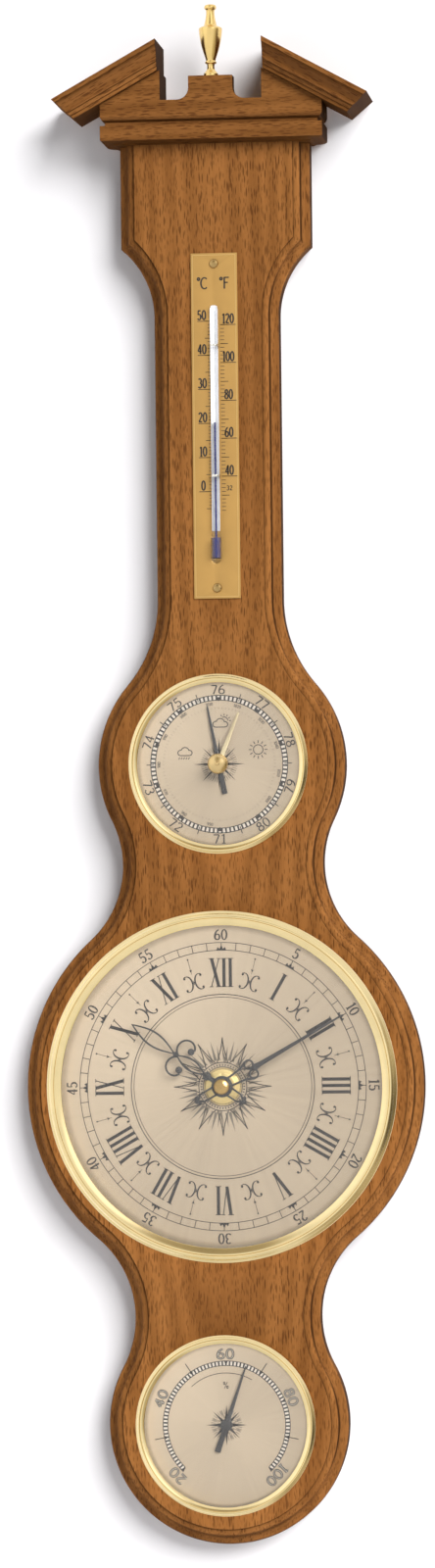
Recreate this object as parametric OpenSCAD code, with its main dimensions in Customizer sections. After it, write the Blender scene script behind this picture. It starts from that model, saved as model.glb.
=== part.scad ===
// Wall weather station: a shaped and moulded wooden board that carries a thermometer, an aneroid
// barometer, a quartz clock and a hygrometer, under a broken pediment with a turned brass finial.
// The origin is the centre of the hanging hole on the wall plane. The front looks along -Y, +Z is up.

/* [Board] */
// Half width of the top panel
top_half = 45; // [42:0.5:48]
// Half width of the neck
neck_half = 29.5; // [28:0.5:31]
// Thickness of the board
board_t = 20; // [19:0.5:24]
// Gap between the board's back and the wall, filled by pads
wall_gap = 2; // [1.8:0.1:4]
// Width of the moulded edge, seen from the front
mould_w = 7.4; // [6:0.2:8.4]
// Depth of the moulded edge, from the front face back
mould_d = 9; // [7:0.5:11]

/* [Lobes and hollows of the outline] */
// Radius of the lobe round the barometer
baro_lobe = 58.4; // [56:0.2:60]
// Radius of the lobe round the clock
clock_lobe = 93.8; // [90:0.2:96]
// Radius of the lobe round the hygrometer
hygro_lobe = 56.4; // [54:0.2:58]
// Radius of the hollow between the top panel and the neck
shoulder_r = 43; // [40:0.5:46]
// Radius of the hollow between the neck and the barometer
neck_r = 61.6; // [58:0.2:64]
// Radius of the hollow above the clock
upper_waist_r = 47; // [44:0.5:50]
// Radius of the hollow below the clock
lower_waist_r = 48.5; // [46:0.5:51]

/* [Heights above the lowest point] */
// Centre of the clock
clock_height = 214.7; // [212:0.1:217]
// Centre of the barometer
baro_height = 366; // [363:0.5:369]
// Where the neck ends and its upper hollow begins
neck_top_height = 577.6; // [574:0.2:580]
// Top edge of the board, under the cornice
board_height = 659; // [655:0.5:660]
// Centre of the hanging hole
hang_height = 632; // [628:0.5:638]

/* [Pediment] */
// Projection of the cornice beyond the board, at the front and at the sides
cornice_out = 7.6; // [7:0.1:8.5]
// Height of the cornice
cornice_h = 8.5; // [8.2:0.1:10]
// Slope of the two raking mouldings, in degrees
rake_slope = 29; // [27:0.5:31]
// Height of a raking moulding, square to its slope
rake_h = 12.4; // [11.5:0.1:13]
// Projection of a raking moulding beyond the pediment's face
rake_out = 9; // [8:0.2:10]
// Half width of the gap between the two raking mouldings
rake_gap_half = 25; // [24:0.2:27]
// Half width over the outer tips of the raking mouldings
rake_tip_half = 74.6; // [73:0.2:76]
// Half width of the block under the finial
plinth_half = 10.5; // [9.5:0.1:11.5]
// Thickness of that block, which stands flush with the pediment's front
plinth_t = 8; // [7.5:0.5:12]
// Height of the finial
finial_h = 34; // [32:0.5:36]

/* [Thermometer] */
// Width of the scale plate
plate_w = 22; // [20:0.5:24]
// Length of the scale plate
plate_l = 163; // [158:1:168]
// Height of the plate's lower edge above the lowest point of the board
plate_height = 444; // [440:1:448]
// Diameter of the glass tube
tube_d = 3.8; // [3.4:0.1:4.2]
// Length of the tube from the foot of its bulb to its top
tube_l = 121.5; // [118:0.5:124]
// Length of one degree Celsius on the scale
degree = 1.609; // [1.6:0.001:1.62]
// Temperature shown, in degrees Celsius
shown_celsius = 20; // [0:1:40]

/* [Small instruments] */
// Diameter over the bezel of the barometer and of the hygrometer
small_bezel_d = 84.6; // [83:0.2:86]
// Diameter of the view through that bezel
small_view_d = 76.4; // [75:0.2:77]
// Height of that bezel above the board
small_bezel_h = 8.2; // [8:0.1:9]
// Diameter of the drum behind it
small_drum_d = 70; // [66:0.5:71]
// Angle of the barometer's pointer, clockwise from the top
baro_angle = -10.9; // [-60:0.1:60]
// Angle of the marker hand, clockwise from the top
marker_angle = 21.6; // [-60:0.1:60]
// Angle of the hygrometer's pointer, clockwise from the top
hygro_angle = 19; // [-60:0.1:60]

/* [Clock] */
// Diameter over the clock's bezel
clock_bezel_d = 165; // [163:0.5:167]
// Diameter of the view through that bezel
clock_view_d = 151; // [149:0.5:152]
// Height of that bezel above the board
clock_bezel_h = 10; // [9.6:0.1:11]
// Side of the square movement
movement_w = 56; // [56:0.5:58]
// Thickness of the movement
movement_t = 16; // [16:0.2:16.4]
// Angle of the hour hand, clockwise from the top
hour_angle = 305; // [0:0.5:360]
// Angle of the minute hand, clockwise from the top
minute_angle = 60; // [0:0.5:360]

/* [Hidden] */
$fn = 96;

wood = "#9a6231";
dark_wood = "#7d4c25";
brass = "#c9a24a";
champagne = "#cfc4a6";
graphite = "#34312e";
steel = "#9c9fa3";
glass_tint = "#dfe9ea";
black_plastic = "#26282b";

// A height above the lowest point, measured from the hanging hole instead
function from_hole(height) = height - hang_height;

board_back = -wall_gap;
board_front = -wall_gap - board_t;
top_z = from_hole(board_height);
clock_z = from_hole(clock_height);
baro_z = from_hole(baro_height);
hygro_z = from_hole(hygro_lobe);
neck_top_z = from_hole(neck_top_height);

// Things shared by many pieces

// The point on a circle about c, at an angle in degrees
function on_circle(c, r, a) = [c.x + r * cos(a), c.y + r * sin(a)];

// Points along an arc in n equal steps
function arc(c, r, a0, a1, n) = [for (i = [0:n]) on_circle(c, r, a0 + (a1 - a0) * i / n)];

// Direction from a to b in degrees, from 0 to 360
function bearing(a, b) = (atan2(b.y - a.y, b.x - a.x) + 360) % 360;

// Local +Z looks out of the board and local Y is up; z = 0 is the board's front face
module facing(height) {
    translate([0, board_front, height]) rotate([90, 0, 0]) children();
}

// Turns a hand clockwise from the top, as seen from the front
module clockwise(angle) {
    rotate([0, 0, -angle]) children();
}

// A disc between two levels
module disc(r, z0, z1) {
    translate([0, 0, z0]) cylinder(r = r, h = z1 - z0);
}

// A ring between two levels
module ring(r_out, r_in, z0, z1) {
    difference() {
        disc(r_out, z0, z1);
        disc(r_in, z0 - 1, z1 + 1);
    }
}

// A bar between two levels, from [x0, y0] to [x1, y1]
module bar(from, to, z0, z1) {
    translate([from.x, from.y, z0]) cube([to.x - from.x, to.y - from.y, z1 - z0]);
}

// A slotted screw along local +Z, with the underside of its head at z = 0
module slotted_screw(head_r, head_h, shank_r, shank_l) {
    slot_w = head_r * 0.26;
    difference() {
        disc(head_r, 0, head_h);
        translate([-head_r - 1, -slot_w / 2, head_h * 0.45])
            cube([2 * head_r + 2, slot_w, head_h]);
    }
    disc(shank_r, -shank_l, 0.01);
}

// Gears, as teeth of involute shape thinned for running clearance
pressure = 20;
addendum = 0.8;
dedendum = 1.2;

// Involute function, in degrees
function inv(a) = tan(a) * 180 / PI - a;

// Half the angle of a tooth at radius r
function half_tooth(teeth, pitch_r, r, slack) =
    let (base_r = pitch_r * cos(pressure), at = max(r, base_r))
    90 / teeth - slack / pitch_r * 90 / PI + inv(pressure) - inv(acos(base_r / at));

function gear_outline(teeth, modulus, slack) =
    let (
        pitch_r = teeth * modulus / 2,
        root_r = pitch_r - dedendum * modulus,
        tip_r = pitch_r + addendum * modulus,
        steps = [0, 0.35, 0.6, 0.8, 1],
        radii = [for (s = steps) root_r + (tip_r - root_r) * s],
        halves = [for (r = radii) half_tooth(teeth, pitch_r, r, slack)],
        last = len(steps) - 1
    )
    [
        for (i = [0:teeth - 1])
            for (side = [-1, 1])
                for (k = [0:last])
                    let (j = side < 0 ? k : last - k)
                    on_circle([0, 0], radii[j], i * 360 / teeth + side * halves[j])
    ];

module gear(teeth, modulus, z0, z1, turn, slack = 0.09) {
    translate([0, 0, z0]) linear_extrude(z1 - z0)
        rotate([0, 0, turn]) polygon(gear_outline(teeth, modulus, slack));
}

// The board's outline: lobes round the instruments, joined by hollows tangent to both neighbours

// Centre of a hollow of radius r that touches two lobes [height, radius] on the right
function hollow_centre(low, high, r) =
    let (
        gap = high[0] - low[0],
        to_low = low[1] + r,
        to_high = high[1] + r,
        rise = (gap * gap + to_low * to_low - to_high * to_high) / (2 * gap)
    )
    [sqrt(to_low * to_low - rise * rise), low[0] + rise];

shoulder_centre = [neck_half + shoulder_r, neck_top_z];
neck_centre_x = neck_half + neck_r;
neck_foot_z = baro_z + sqrt(pow(baro_lobe + neck_r, 2) - pow(neck_centre_x, 2));
upper_waist = hollow_centre([clock_z, clock_lobe], [baro_z, baro_lobe], upper_waist_r);
lower_waist = hollow_centre([hygro_z, hygro_lobe], [clock_z, clock_lobe], lower_waist_r);

// Lobes and hollows from the neck down: centre, radius, and 1 for a lobe or -1 for a hollow
chain = [
    [[neck_centre_x, neck_foot_z], neck_r, -1],
    [[0, baro_z], baro_lobe, 1],
    [upper_waist, upper_waist_r, -1],
    [[0, clock_z], clock_lobe, 1],
    [lower_waist, lower_waist_r, -1],
    [[0, hygro_z], hygro_lobe, 1],
];
arc_step = 8;

// One link of the chain, cut back from the edge by inset; a link starts where the last one ended
function link_arc(i, inset) =
    let (
        link = chain[i],
        lobe = link[2] > 0,
        first = i == 0 ? 180 : bearing(link[0], chain[i - 1][0]),
        after = i == len(chain) - 1 ? 270 : bearing(link[0], chain[i + 1][0]),
        end = lobe ? after - 360 : after,
        n = ceil(abs(end - first) / arc_step)
    )
    [for (k = [i == 0 ? 0 : 1:n])
        on_circle(link[0], link[1] - link[2] * inset, first + (end - first) * k / n)];

shoulder_steps = 6;

// The right half, from the top edge down to the lowest point
function right_half(inset) =
    let (
        x = top_half - inset,
        r = shoulder_r + inset,
        across = shoulder_centre.x - x,
        corner = acos(-across / r)
    )
    concat(
        [[x, top_z]],
        arc(shoulder_centre, r, corner, 180, shoulder_steps),
        [for (i = [0:len(chain) - 1]) for (p = link_arc(i, inset)) p]
    );

// The closed outline; the lowest point is kept once
function outline(inset) =
    let (right = right_half(inset), last = len(right) - 1)
    concat(right, [for (i = [last - 1:-1:0]) [-right[i].x, right[i].y]]);

// Profile of the moulded edge as [inset, depth behind the front face]: a sharp step, a rounded
// bead, a second step, a hollow and a narrow lip
step_1 = 0.13 * mould_d;
bead_w = 0.42 * mould_w;
bead_d = 0.24 * mould_d;
step_2 = 0.46 * mould_d;
hollow_in = 0.56 * mould_w;
lip_in = 0.08 * mould_w;
hollow_d = 0.45 * mould_d;
edge_profile = concat(
    [[mould_w, 0]],
    [for (a = [0:30:90]) [mould_w - 0.2 - bead_w * sin(a), step_1 + bead_d * (1 - cos(a))]],
    [for (a = [0:22.5:90]) [
        hollow_in - (hollow_in - lip_in) * (1 - cos(a)),
        step_2 + hollow_d * sin(a)
    ]],
    [[0, mould_d], [0, board_t]]
);

// Triangles that close a ring whose point i mirrors point n - 1 - i, as a strip across the middle
function cap(n) =
    let (half = floor(n / 2))
    concat(
        [for (i = [0:half - 2]) [i, i + 1, n - 1 - i]],
        [for (i = [0:half - 2]) [i + 1, n - 2 - i, n - 1 - i]],
        n % 2 == 1 ? [[half - 1, half, half + 1]] : []
    );

// A body through rings of points, each mirrored left to right and all with as many points
module skin(rings) {
    n = len(rings[0]);
    last = len(rings) - 1;
    polyhedron(
        points = [for (r = rings) for (p = r) p],
        faces = concat(
            cap(n),
            [for (f = cap(n)) [last * n + f[2], last * n + f[1], last * n + f[0]]],
            [for (k = [0:last - 1]) for (i = [0:n - 1])
                [k * n + i, (k + 1) * n + i, k * n + (i + 1) % n]],
            [for (k = [0:last - 1]) for (i = [0:n - 1])
                [k * n + (i + 1) % n, (k + 1) * n + i, (k + 1) * n + (i + 1) % n]]
        )
    );
}

small_bore_r = small_drum_d / 2 + 1.6;
clock_bore_r = 44;
plate_screw_inset = 5;
plate_z0 = from_hole(plate_height);
screw_zs = [plate_z0 + plate_screw_inset, plate_z0 + plate_l - plate_screw_inset];
plate_screw_r = 1.2;
dowel_r = 3;
dowel_x = 24;
dowel_y = board_front / 2;
dowel_half_l = 6;
hanger_w = 44;
hanger_h = 16;
hanger_t = wall_gap;
hanger_recess = 0.9;
hang_r = 3.5;
hanger_screw_x = 16;
nail_pocket_r = 8;
nail_pocket_d = 9;
backplate_screw_r = 60;

module backboard() {
    color(wood) difference() {
        skin([for (p = edge_profile) [for (q = outline(p[0])) [q.x, board_front + p[1], q.y]]]);
        facing(baro_z) disc(small_bore_r, -board_t - 1, 1);
        facing(hygro_z) disc(small_bore_r, -board_t - 1, 1);
        facing(clock_z) {
            disc(clock_bore_r, -board_t - 1, 1);
            at_backplate_screws() disc(1.15, -9.4, 1);
        }
        for (z = screw_zs)
            facing(z) disc(plate_screw_r, -10, 1);
        for (s = [-1, 1]) {
            translate([s * dowel_x, dowel_y, top_z - dowel_half_l - 0.5])
                cylinder(r = dowel_r, h = dowel_half_l + 2);
            translate([s * hanger_screw_x, board_back + 1, 0])
                rotate([90, 0, 0]) cylinder(r = 1.3, h = 10.5);
        }
        translate([0, board_back + 1, 0])
            rotate([90, 0, 0]) cylinder(r = nail_pocket_r, h = nail_pocket_d + 1);
    }
}

module at_backplate_screws() {
    for (a = [90, 210, 330])
        rotate([0, 0, a]) translate([backplate_screw_r, 0, 0]) children();
}

// Cornice and pediment

cornice_z1 = top_z + cornice_h;
groove_h = 1.7;
pediment_z0 = cornice_z1 + groove_h;
pediment_half = top_half + cornice_out;
pediment_front = board_front - cornice_out;
finial_y = pediment_front + plinth_t / 2;

// A block flush with the board's back, with a profile [projection, height] on its front and sides
module moulded_block(profile, z0) {
    top = profile[len(profile) - 1][1];
    reach_x = 2 * top_half + 40;
    across = [for (p = profile) [top_half + p[0], p[1]]];
    mirrored = [for (i = [len(across) - 1:-1:0]) [-across[i].x, across[i].y]];
    intersection() {
        translate([-reach_x / 2, 0, z0]) rotate([90, 0, 90]) linear_extrude(reach_x)
            polygon(concat(
                [[board_back, 0]],
                [for (p = profile) [board_front - p[0], p[1]]],
                [[board_back, top]]
            ));
        translate([0, 1, z0]) rotate([90, 0, 0]) linear_extrude(board_t + 30)
            polygon(concat(across, mirrored));
    }
}

// From the board up: a small fillet, a flat rounded quarter, an upright face, then the neck of a groove
cornice_profile = concat(
    [[1.2, 0], [2, 0.4]],
    [for (a = [0:18:90]) [
        2.8 + (cornice_out - 2.8) * sin(a),
        0.6 + 1.2 * (1 - cos(a))
    ]],
    [[cornice_out, cornice_h], [cornice_out - 2.2, cornice_h]],
    [[cornice_out - 2.2, cornice_h + groove_h]]
);

module cornice_moulding() {
    color(dark_wood) difference() {
        moulded_block(cornice_profile, top_z);
        for (s = [-1, 1])
            translate([s * dowel_x, dowel_y, top_z - 1])
                cylinder(r = dowel_r, h = dowel_half_l + 1.5);
    }
}

inner_top_z = from_hole(707);
plinth_z = from_hole(690.2);
plinth_foot_z = from_hole(684.6);
notch_z = from_hole(679.1);
notch_half = rake_gap_half - 1;
chamfer = 2.2;

// Height of the upper edge of a raking moulding at x
function rake_top(x) = inner_top_z - (x - rake_gap_half) * tan(rake_slope);
rake_under = rake_h / cos(rake_slope);

// The right half of the pediment board, from the middle outward, without its moulded foot
pediment_right = concat(
    [[plinth_half, plinth_z], [plinth_half, plinth_foot_z]],
    arc([plinth_half + plinth_foot_z - notch_z, plinth_foot_z],
        plinth_foot_z - notch_z, 180, 270, 6),
    [
        [notch_half, notch_z],
        [notch_half, rake_top(notch_half) - rake_under],
        [pediment_half, rake_top(pediment_half) - rake_under],
        [pediment_half, pediment_z0 + chamfer],
    ]
);

module pediment_board() {
    mirrored = [for (i = [len(pediment_right) - 1:-1:0])
        [-pediment_right[i].x, pediment_right[i].y]];
    color(wood) difference() {
        union() {
            translate([0, board_back, 0]) rotate([90, 0, 0])
                linear_extrude(board_back - pediment_front)
                    polygon(concat(pediment_right, mirrored));
            moulded_block([
                [cornice_out - chamfer, 0],
                [cornice_out - 0.35 * chamfer, 0.45 * chamfer],
                [cornice_out, chamfer],
            ], pediment_z0);
        }
        translate([0, finial_y, plinth_z - 9]) cylinder(r = stud_r, h = 10);
        translate([1 - notch_half, pediment_front + plinth_t, notch_z - 1.5])
            cube([2 * (notch_half - 1), board_back - pediment_front, plinth_z - notch_z + 2.5]);
    }
}

// Profile of a raking moulding as [depth behind its front, distance below its upper edge]: a square
// fillet, a wide shallow hollow, a fine step, and a lower band with a reed
rake_front = pediment_front - rake_out;
rake_back = board_back - rake_front;
rake_profile = concat(
    [[0, 0], [0, 0.17 * rake_h], [0.1 * rake_out, 0.2 * rake_h]],
    [for (t = [0:0.2:1]) [
        rake_out * (0.13 + 0.33 * t + 0.1 * sin(180 * t)),
        rake_h * (0.21 + 0.43 * t)
    ]],
    [
        [0.36 * rake_out, 0.66 * rake_h],
        [0.4 * rake_out, 0.71 * rake_h],
        [0.52 * rake_out, 0.73 * rake_h],
        [0.56 * rake_out, 0.86 * rake_h],
        [0.66 * rake_out, 0.88 * rake_h],
        [0.66 * rake_out, rake_h],
        [rake_back, rake_h],
        [rake_back, 0],
    ]
);
undercut = 4.6;

// The piece lies along its slope on the pediment board, cut upright inside and undercut outside
module rake(side) {
    length = (rake_tip_half - rake_gap_half) / cos(rake_slope);
    outer_low = [
        rake_tip_half - rake_h * sin(rake_slope) - undercut * cos(rake_slope),
        rake_top(rake_tip_half) - rake_h * cos(rake_slope) + undercut * sin(rake_slope)
    ];
    mirror([side < 0 ? 1 : 0, 0, 0]) intersection() {
        translate([rake_gap_half, 0, inner_top_z]) rotate([0, rake_slope, 0])
            translate([-20, rake_front, 0]) rotate([90, 0, 90])
                linear_extrude(length + 40)
                    polygon([for (p = rake_profile) [p[0], -p[1]]]);
        rotate([90, 0, 0]) linear_extrude(60)
            polygon([
                [rake_gap_half, inner_top_z + 1],
                [rake_gap_half, inner_top_z - rake_under - 1],
                outer_low + [0.3, -0.5],
                outer_low,
                [rake_tip_half, rake_top(rake_tip_half)],
                [rake_tip_half, rake_top(rake_tip_half) + 1],
            ]);
    }
}

module left_rake_moulding() {
    color(wood) rake(-1);
}

module right_rake_moulding() {
    color(wood) rake(1);
}

module pediment_dowels() {
    color("#c8a06a")
        for (s = [-1, 1])
            translate([s * dowel_x, dowel_y, top_z - dowel_half_l])
                cylinder(r = dowel_r, h = 2 * dowel_half_l);
}

// Turned urn on a flared foot, as [radius, share of the height] going up
stud_r = 1.5;
finial_profile = [
    [0, 0], [3.5, 0], [3.5, 0.03], [2.6, 0.06], [1.8, 0.1], [1.75, 0.16], [2.7, 0.175],
    [2.7, 0.2], [2.3, 0.215], [2.5, 0.23], [3.2, 0.3], [4.1, 0.42], [5, 0.55], [5.5, 0.64],
    [5.5, 0.66], [5, 0.68], [3.4, 0.7], [2.9, 0.73], [2.3, 0.8], [2, 0.88], [2, 0.91],
    [2.8, 0.935], [2.8, 0.97], [2.3, 0.995], [0, 1],
];

module finial() {
    color(brass) difference() {
        translate([0, finial_y, plinth_z])
            rotate_extrude() polygon([for (p = finial_profile) [p[0], p[1] * finial_h]]);
        translate([0, finial_y, plinth_z - 1]) cylinder(r = stud_r, h = 5);
    }
}

module finial_stud() {
    color(steel) translate([0, finial_y, plinth_z - 9]) cylinder(r = stud_r, h = 13);
}

// The plate spans a pocket for the nail's head, and its rear face lies on the wall
module hanger_plate() {
    color(steel) difference() {
        translate([-hanger_w / 2, board_back, -hanger_h / 2])
            cube([hanger_w, hanger_t, hanger_h]);
        translate([0, 1, 0]) rotate([90, 0, 0]) cylinder(r = hang_r, h = 4);
        for (s = [-1, 1])
            translate([s * hanger_screw_x, 1, 0]) rotate([90, 0, 0]) {
                cylinder(r = 1.6, h = 4);
                cylinder(r = 3, h = 1 + hanger_recess);
            }
    }
}

module hanger_screws() {
    color(steel)
        for (s = [-1, 1])
            translate([s * hanger_screw_x, -hanger_recess, 0]) rotate([-90, 0, 0])
                slotted_screw(2.8, 0.7, 1.3, 10);
}

pad_xs = [-60, 60];

module wall_pads() {
    color("#5b3a22") {
        for (x = pad_xs)
            translate([x, board_back, clock_z]) rotate([-90, 0, 0])
                cylinder(r = 6, h = wall_gap);
        for (x = [-38, 38])
            translate([x, board_back, top_z - 12]) rotate([-90, 0, 0])
                cylinder(r = 5, h = wall_gap);
    }
}

// Thermometer

plate_t = 0.8;
tube_r = tube_d / 2;
tube_bore_r = 0.45;
bulb_r = 2.5;
bulb_l = 14;
bulb_foot_z = plate_z0 + 16.4;
tube_rise = plate_t + bulb_r + 0.1;
zero_z = from_hole(494.4);

module thermometer_plate() {
    color(brass) facing(0) difference() {
        bar([-plate_w / 2, plate_z0], [plate_w / 2, plate_z0 + plate_l], 0, plate_t);
        for (z = screw_zs)
            translate([0, z, -1]) cylinder(r = plate_screw_r + 0.2, h = 4);
    }
}

// A capillary with a closed bulb at its foot
module thermometer_tube() {
    color(glass_tint) translate([0, board_front - tube_rise, bulb_foot_z]) difference() {
        rotate_extrude() polygon(concat(
            arc([0, bulb_r], bulb_r, 270, 360, 8),
            [[bulb_r, bulb_l - 2], [tube_r, bulb_l], [tube_r, tube_l - 1.5], [tube_r - 0.8, tube_l]],
            [[0, tube_l]]
        ));
        translate([0, 0, bulb_r]) cylinder(r = bulb_r - 0.5, h = bulb_l - 2 - bulb_r);
        translate([0, 0, bulb_r]) cylinder(r = tube_bore_r, h = tube_l - bulb_r - 2.5);
    }
}

// The liquid fills the bulb and stands in the capillary up to the temperature shown
module thermometer_fill() {
    column_top = zero_z + degree * shown_celsius;
    color("#1f2f86") translate([0, board_front - tube_rise, 0]) {
        translate([0, 0, bulb_foot_z + bulb_r])
            cylinder(r = bulb_r - 0.5, h = bulb_l - 2 - bulb_r);
        translate([0, 0, bulb_foot_z + bulb_r + 1])
            cylinder(r = tube_bore_r, h = column_top - bulb_foot_z - bulb_r - 1);
    }
}

clip_zs = [from_hole(563.1), from_hole(501.6)];

module tube_clips() {
    color(steel)
        for (z = clip_zs)
            translate([0, board_front - tube_rise, z]) difference() {
                union() {
                    cylinder(r = tube_r + 0.35, h = 1.2, center = true);
                    translate([-tube_r - 0.35, 0, -0.6])
                        cube([2 * tube_r + 0.7, tube_rise - plate_t, 1.2]);
                }
                cylinder(r = tube_r, h = 3, center = true);
                translate([-tube_r, 0, -1]) cube([2 * tube_r, tube_rise, 2]);
            }
}

module plate_screws() {
    color(brass)
        for (z = screw_zs)
            facing(z) translate([0, 0, plate_t]) slotted_screw(2.1, 1.1, plate_screw_r, 9);
}

// Small instruments: bezel, glass, dial and drum are alike in the barometer and the hygrometer.
// Levels are heights above the board's front face.

small_r = small_bezel_d / 2;
view_r = small_view_d / 2;
seat_r = view_r + 1.2;
flange_top = 0.9;
dial_t = 0.5;
dial_top = flange_top + dial_t;
lip = 1;
glass_t = 1.6;
glass_top = small_bezel_h - lip - 0.6;
glass_under = glass_top - glass_t;
drum_r = small_drum_d / 2;
drum_back = -17;
wall = 0.8;

// Half of a bezel's section: rises steeply outside, rolls over a crest and slopes in to the view
function bezel_section(out_r, in_r, seat, h) =
    let (crest = (out_r + in_r) / 2 + 0.25, half = out_r - crest)
    concat(
        [[seat, 0], [out_r, 0], [out_r, 0.22 * h]],
        [for (a = [15:15:90]) [crest + half * cos(a), 0.22 * h + 0.78 * h * sin(a)]],
        [[crest - 0.45 * (crest - in_r), h - 0.35], [in_r, h - 1.3], [in_r, h - 1.6]],
        [[seat, h - 1.6]]
    );

module bezel(out_r, in_r, seat, h) {
    rotate_extrude($fn = 180) polygon(bezel_section(out_r, in_r, seat, h));
}

module small_bezel(height) {
    facing(height) color(brass) bezel(small_r, view_r, seat_r, small_bezel_h);
}

module small_glass(height, hole_r) {
    facing(height) color(glass_tint, 0.3) difference() {
        disc(seat_r - 0.05, glass_under, glass_top);
        if (hole_r > 0) disc(hole_r, glass_under - 1, glass_top + 1);
    }
}

module small_dial(height, hole_r) {
    facing(height) color(champagne) ring(seat_r - 0.1, hole_r, flange_top, dial_top);
}

// A can with a flange that lies on the board and a back with one hole of radius back_r at back_at
module small_case(height, back_r, back_at) {
    facing(height) color("#8b8f93") difference() {
        union() {
            disc(seat_r - 0.1, 0, flange_top);
            disc(drum_r, drum_back, 0.01);
        }
        disc(drum_r - wall, drum_back + wall, flange_top + 1);
        translate([back_at.x, back_at.y, drum_back - 1]) cylinder(r = back_r, h = 3);
    }
}

module barometer_bezel() {
    small_bezel(baro_z);
}

knob_hole_r = 1.3;
arbor_r = 0.6;

module barometer_glass() {
    small_glass(baro_z, knob_hole_r);
}

module barometer_dial() {
    small_dial(baro_z, 2);
}

adjust_at = [0, -13];
adjust_r = 1.6;

module barometer_case() {
    small_case(baro_z, adjust_r + 1.2, adjust_at);
}

module instrument_gaskets() {
    color("#202020")
        for (z = [baro_z, hygro_z])
            facing(z) ring(small_bore_r, drum_r, -9, -5);
}

// Aneroid movement: a base plate, a corrugated capsule pulled open by a strong spring, a lever on
// a rocking shaft, and a chain that turns the pointer's arbor against a hairspring

base_top = -14.4;
base_under = -15.6;
capsule_at = [0, 4];
capsule_r = 13;
capsule_top = -9.6;
post_xs = [-24, 24];
bridge_z0 = -2.6;
bridge_z1 = -1.4;
cock_z0 = -6.4;
cock_z1 = -5.4;
spring_z = -7.9;

module barometer_base_plate() {
    facing(baro_z) color("#b89b52") {
        difference() {
            disc(30, base_under, base_top);
            translate([adjust_at.x, adjust_at.y, base_under - 1])
                cylinder(r = adjust_r + 0.06, h = 4);
        }
        for (x = post_xs)
            translate([x, 0, base_under]) cylinder(r = 2, h = cock_z0 - base_under);
        for (a = [30, 150, 270])
            rotate([0, 0, a]) translate([27, 0, drum_back + wall])
                cylinder(r = 2, h = base_under - drum_back - wall + 0.01);
        for (x = [-11, 11])
            difference() {
                bar([x - 1, -22], [x + 1, -16], base_top - 0.01, -7);
                translate([x - 2, -19, -9]) rotate([0, 90, 0]) cylinder(r = 0.9, h = 4);
            }
    }
}

// Two dished discs joined at the rim, with circular waves, and a boss on top
module aneroid_capsule() {
    boss_r = 2.6;
    waves = [for (r = [boss_r + 0.7:0.75:capsule_r]) r];
    facing(baro_z) color("#c6c9cc") translate([capsule_at.x, capsule_at.y, 0])
        rotate_extrude() polygon(concat(
            [[0, base_top], [boss_r, base_top]],
            [for (r = waves) [r, -13.6 + 0.25 * sin(r * 160)]],
            [[capsule_r + 1, -12.2], [capsule_r + 1, -11.8]],
            [for (i = [len(waves) - 1:-1:0]) [waves[i], -10.4 + 0.25 * sin(waves[i] * 160)]],
            [[boss_r, capsule_top], [0, capsule_top]]
        ));
}

module capsule_spring() {
    facing(baro_z) color(steel) translate([capsule_at.x, capsule_at.y, 0]) {
        bar([-19, -3], [19, 3], spring_z, spring_z + 0.8);
        for (x = [-19, 18])
            bar([x, -3], [x + 1, 3], base_top, spring_z + 0.01);
        disc(2, capsule_top, spring_z + 0.01);
    }
}

rocker_z = -9;
rocker_y = -19;
pin_clear = 0.06;

// The shaft lies along local X in two posts; its arm ends beside the arbor and pulls the chain
module rocker_lever() {
    facing(baro_z) color("#a8abad") translate([0, rocker_y, rocker_z]) {
        translate([-12.6, 0, 0]) rotate([0, 90, 0]) cylinder(r = 0.9 - pin_clear, h = 25.2);
        translate([-9.6, 0, 0]) rotate([0, 90, 0]) cylinder(r = 1.4, h = 19.2);
        bar([4, -0.8], [5.4, 12], 0.9, 2.1);
        bar([4, 10.6], [5.4, 12], 0.9, 5);
    }
}

module arbor_bridge() {
    facing(baro_z) color("#b89b52") difference() {
        union() {
            for (z = [[bridge_z0, bridge_z1], [cock_z0, cock_z1]])
                bar([-26, -2.5], [26, 2.5], z[0], z[1]);
            disc(4.5, bridge_z0, bridge_z1);
            for (x = post_xs)
                translate([x, 0, cock_z0 + 0.5]) cylinder(r = 2, h = bridge_z0 - cock_z0);
        }
        disc(arbor_r + 0.08, cock_z0 - 1, bridge_z1 + 1);
    }
}

pointer_under = dial_top + 0.8;
pointer_t = 0.35;

module barometer_arbor() {
    facing(baro_z) color(steel) {
        disc(arbor_r, cock_z0 - 0.3, pointer_under + 1.1);
        disc(1.5, -5, -4);
    }
}

// A flat spiral ribbon from the arbor's collet to a stud under the bridge
module hairspring() {
    turns = 3.5;
    start_r = 1.6;
    pitch_r = 1.0;
    half_t = 0.09;
    angles = [for (a = [0:20:turns * 360]) a];
    facing(baro_z) color(steel) {
        translate([0, 0, -3.7]) linear_extrude(0.5) polygon(concat(
            [for (a = angles) on_circle([0, 0], start_r + pitch_r * a / 360 + half_t, a)],
            [for (i = [len(angles) - 1:-1:0])
                on_circle([0, 0], start_r + pitch_r * angles[i] / 360 - half_t, angles[i])]
        ));
        translate([-start_r - pitch_r * turns, 0, -3.8]) cylinder(r = 0.5, h = 1.21);
    }
}

// A pointer along local Y: hub, tapering blade and a widening counterweight tail
module pointer(angle, length, root, tip, tail, tail_w, z0, t, hub_r, hub_h, bore_r) {
    clockwise(angle) difference() {
        union() {
            translate([0, 0, z0]) linear_extrude(t) polygon([
                [-root / 2, 0], [-tip / 2, length - tip], [0, length], [tip / 2, length - tip],
                [root / 2, 0], [tail_w / 2, -tail], [-tail_w / 2, -tail],
            ]);
            disc(hub_r, z0, z0 + hub_h);
        }
        disc(bore_r, z0 - 1, z0 + hub_h + 1);
    }
}

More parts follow.
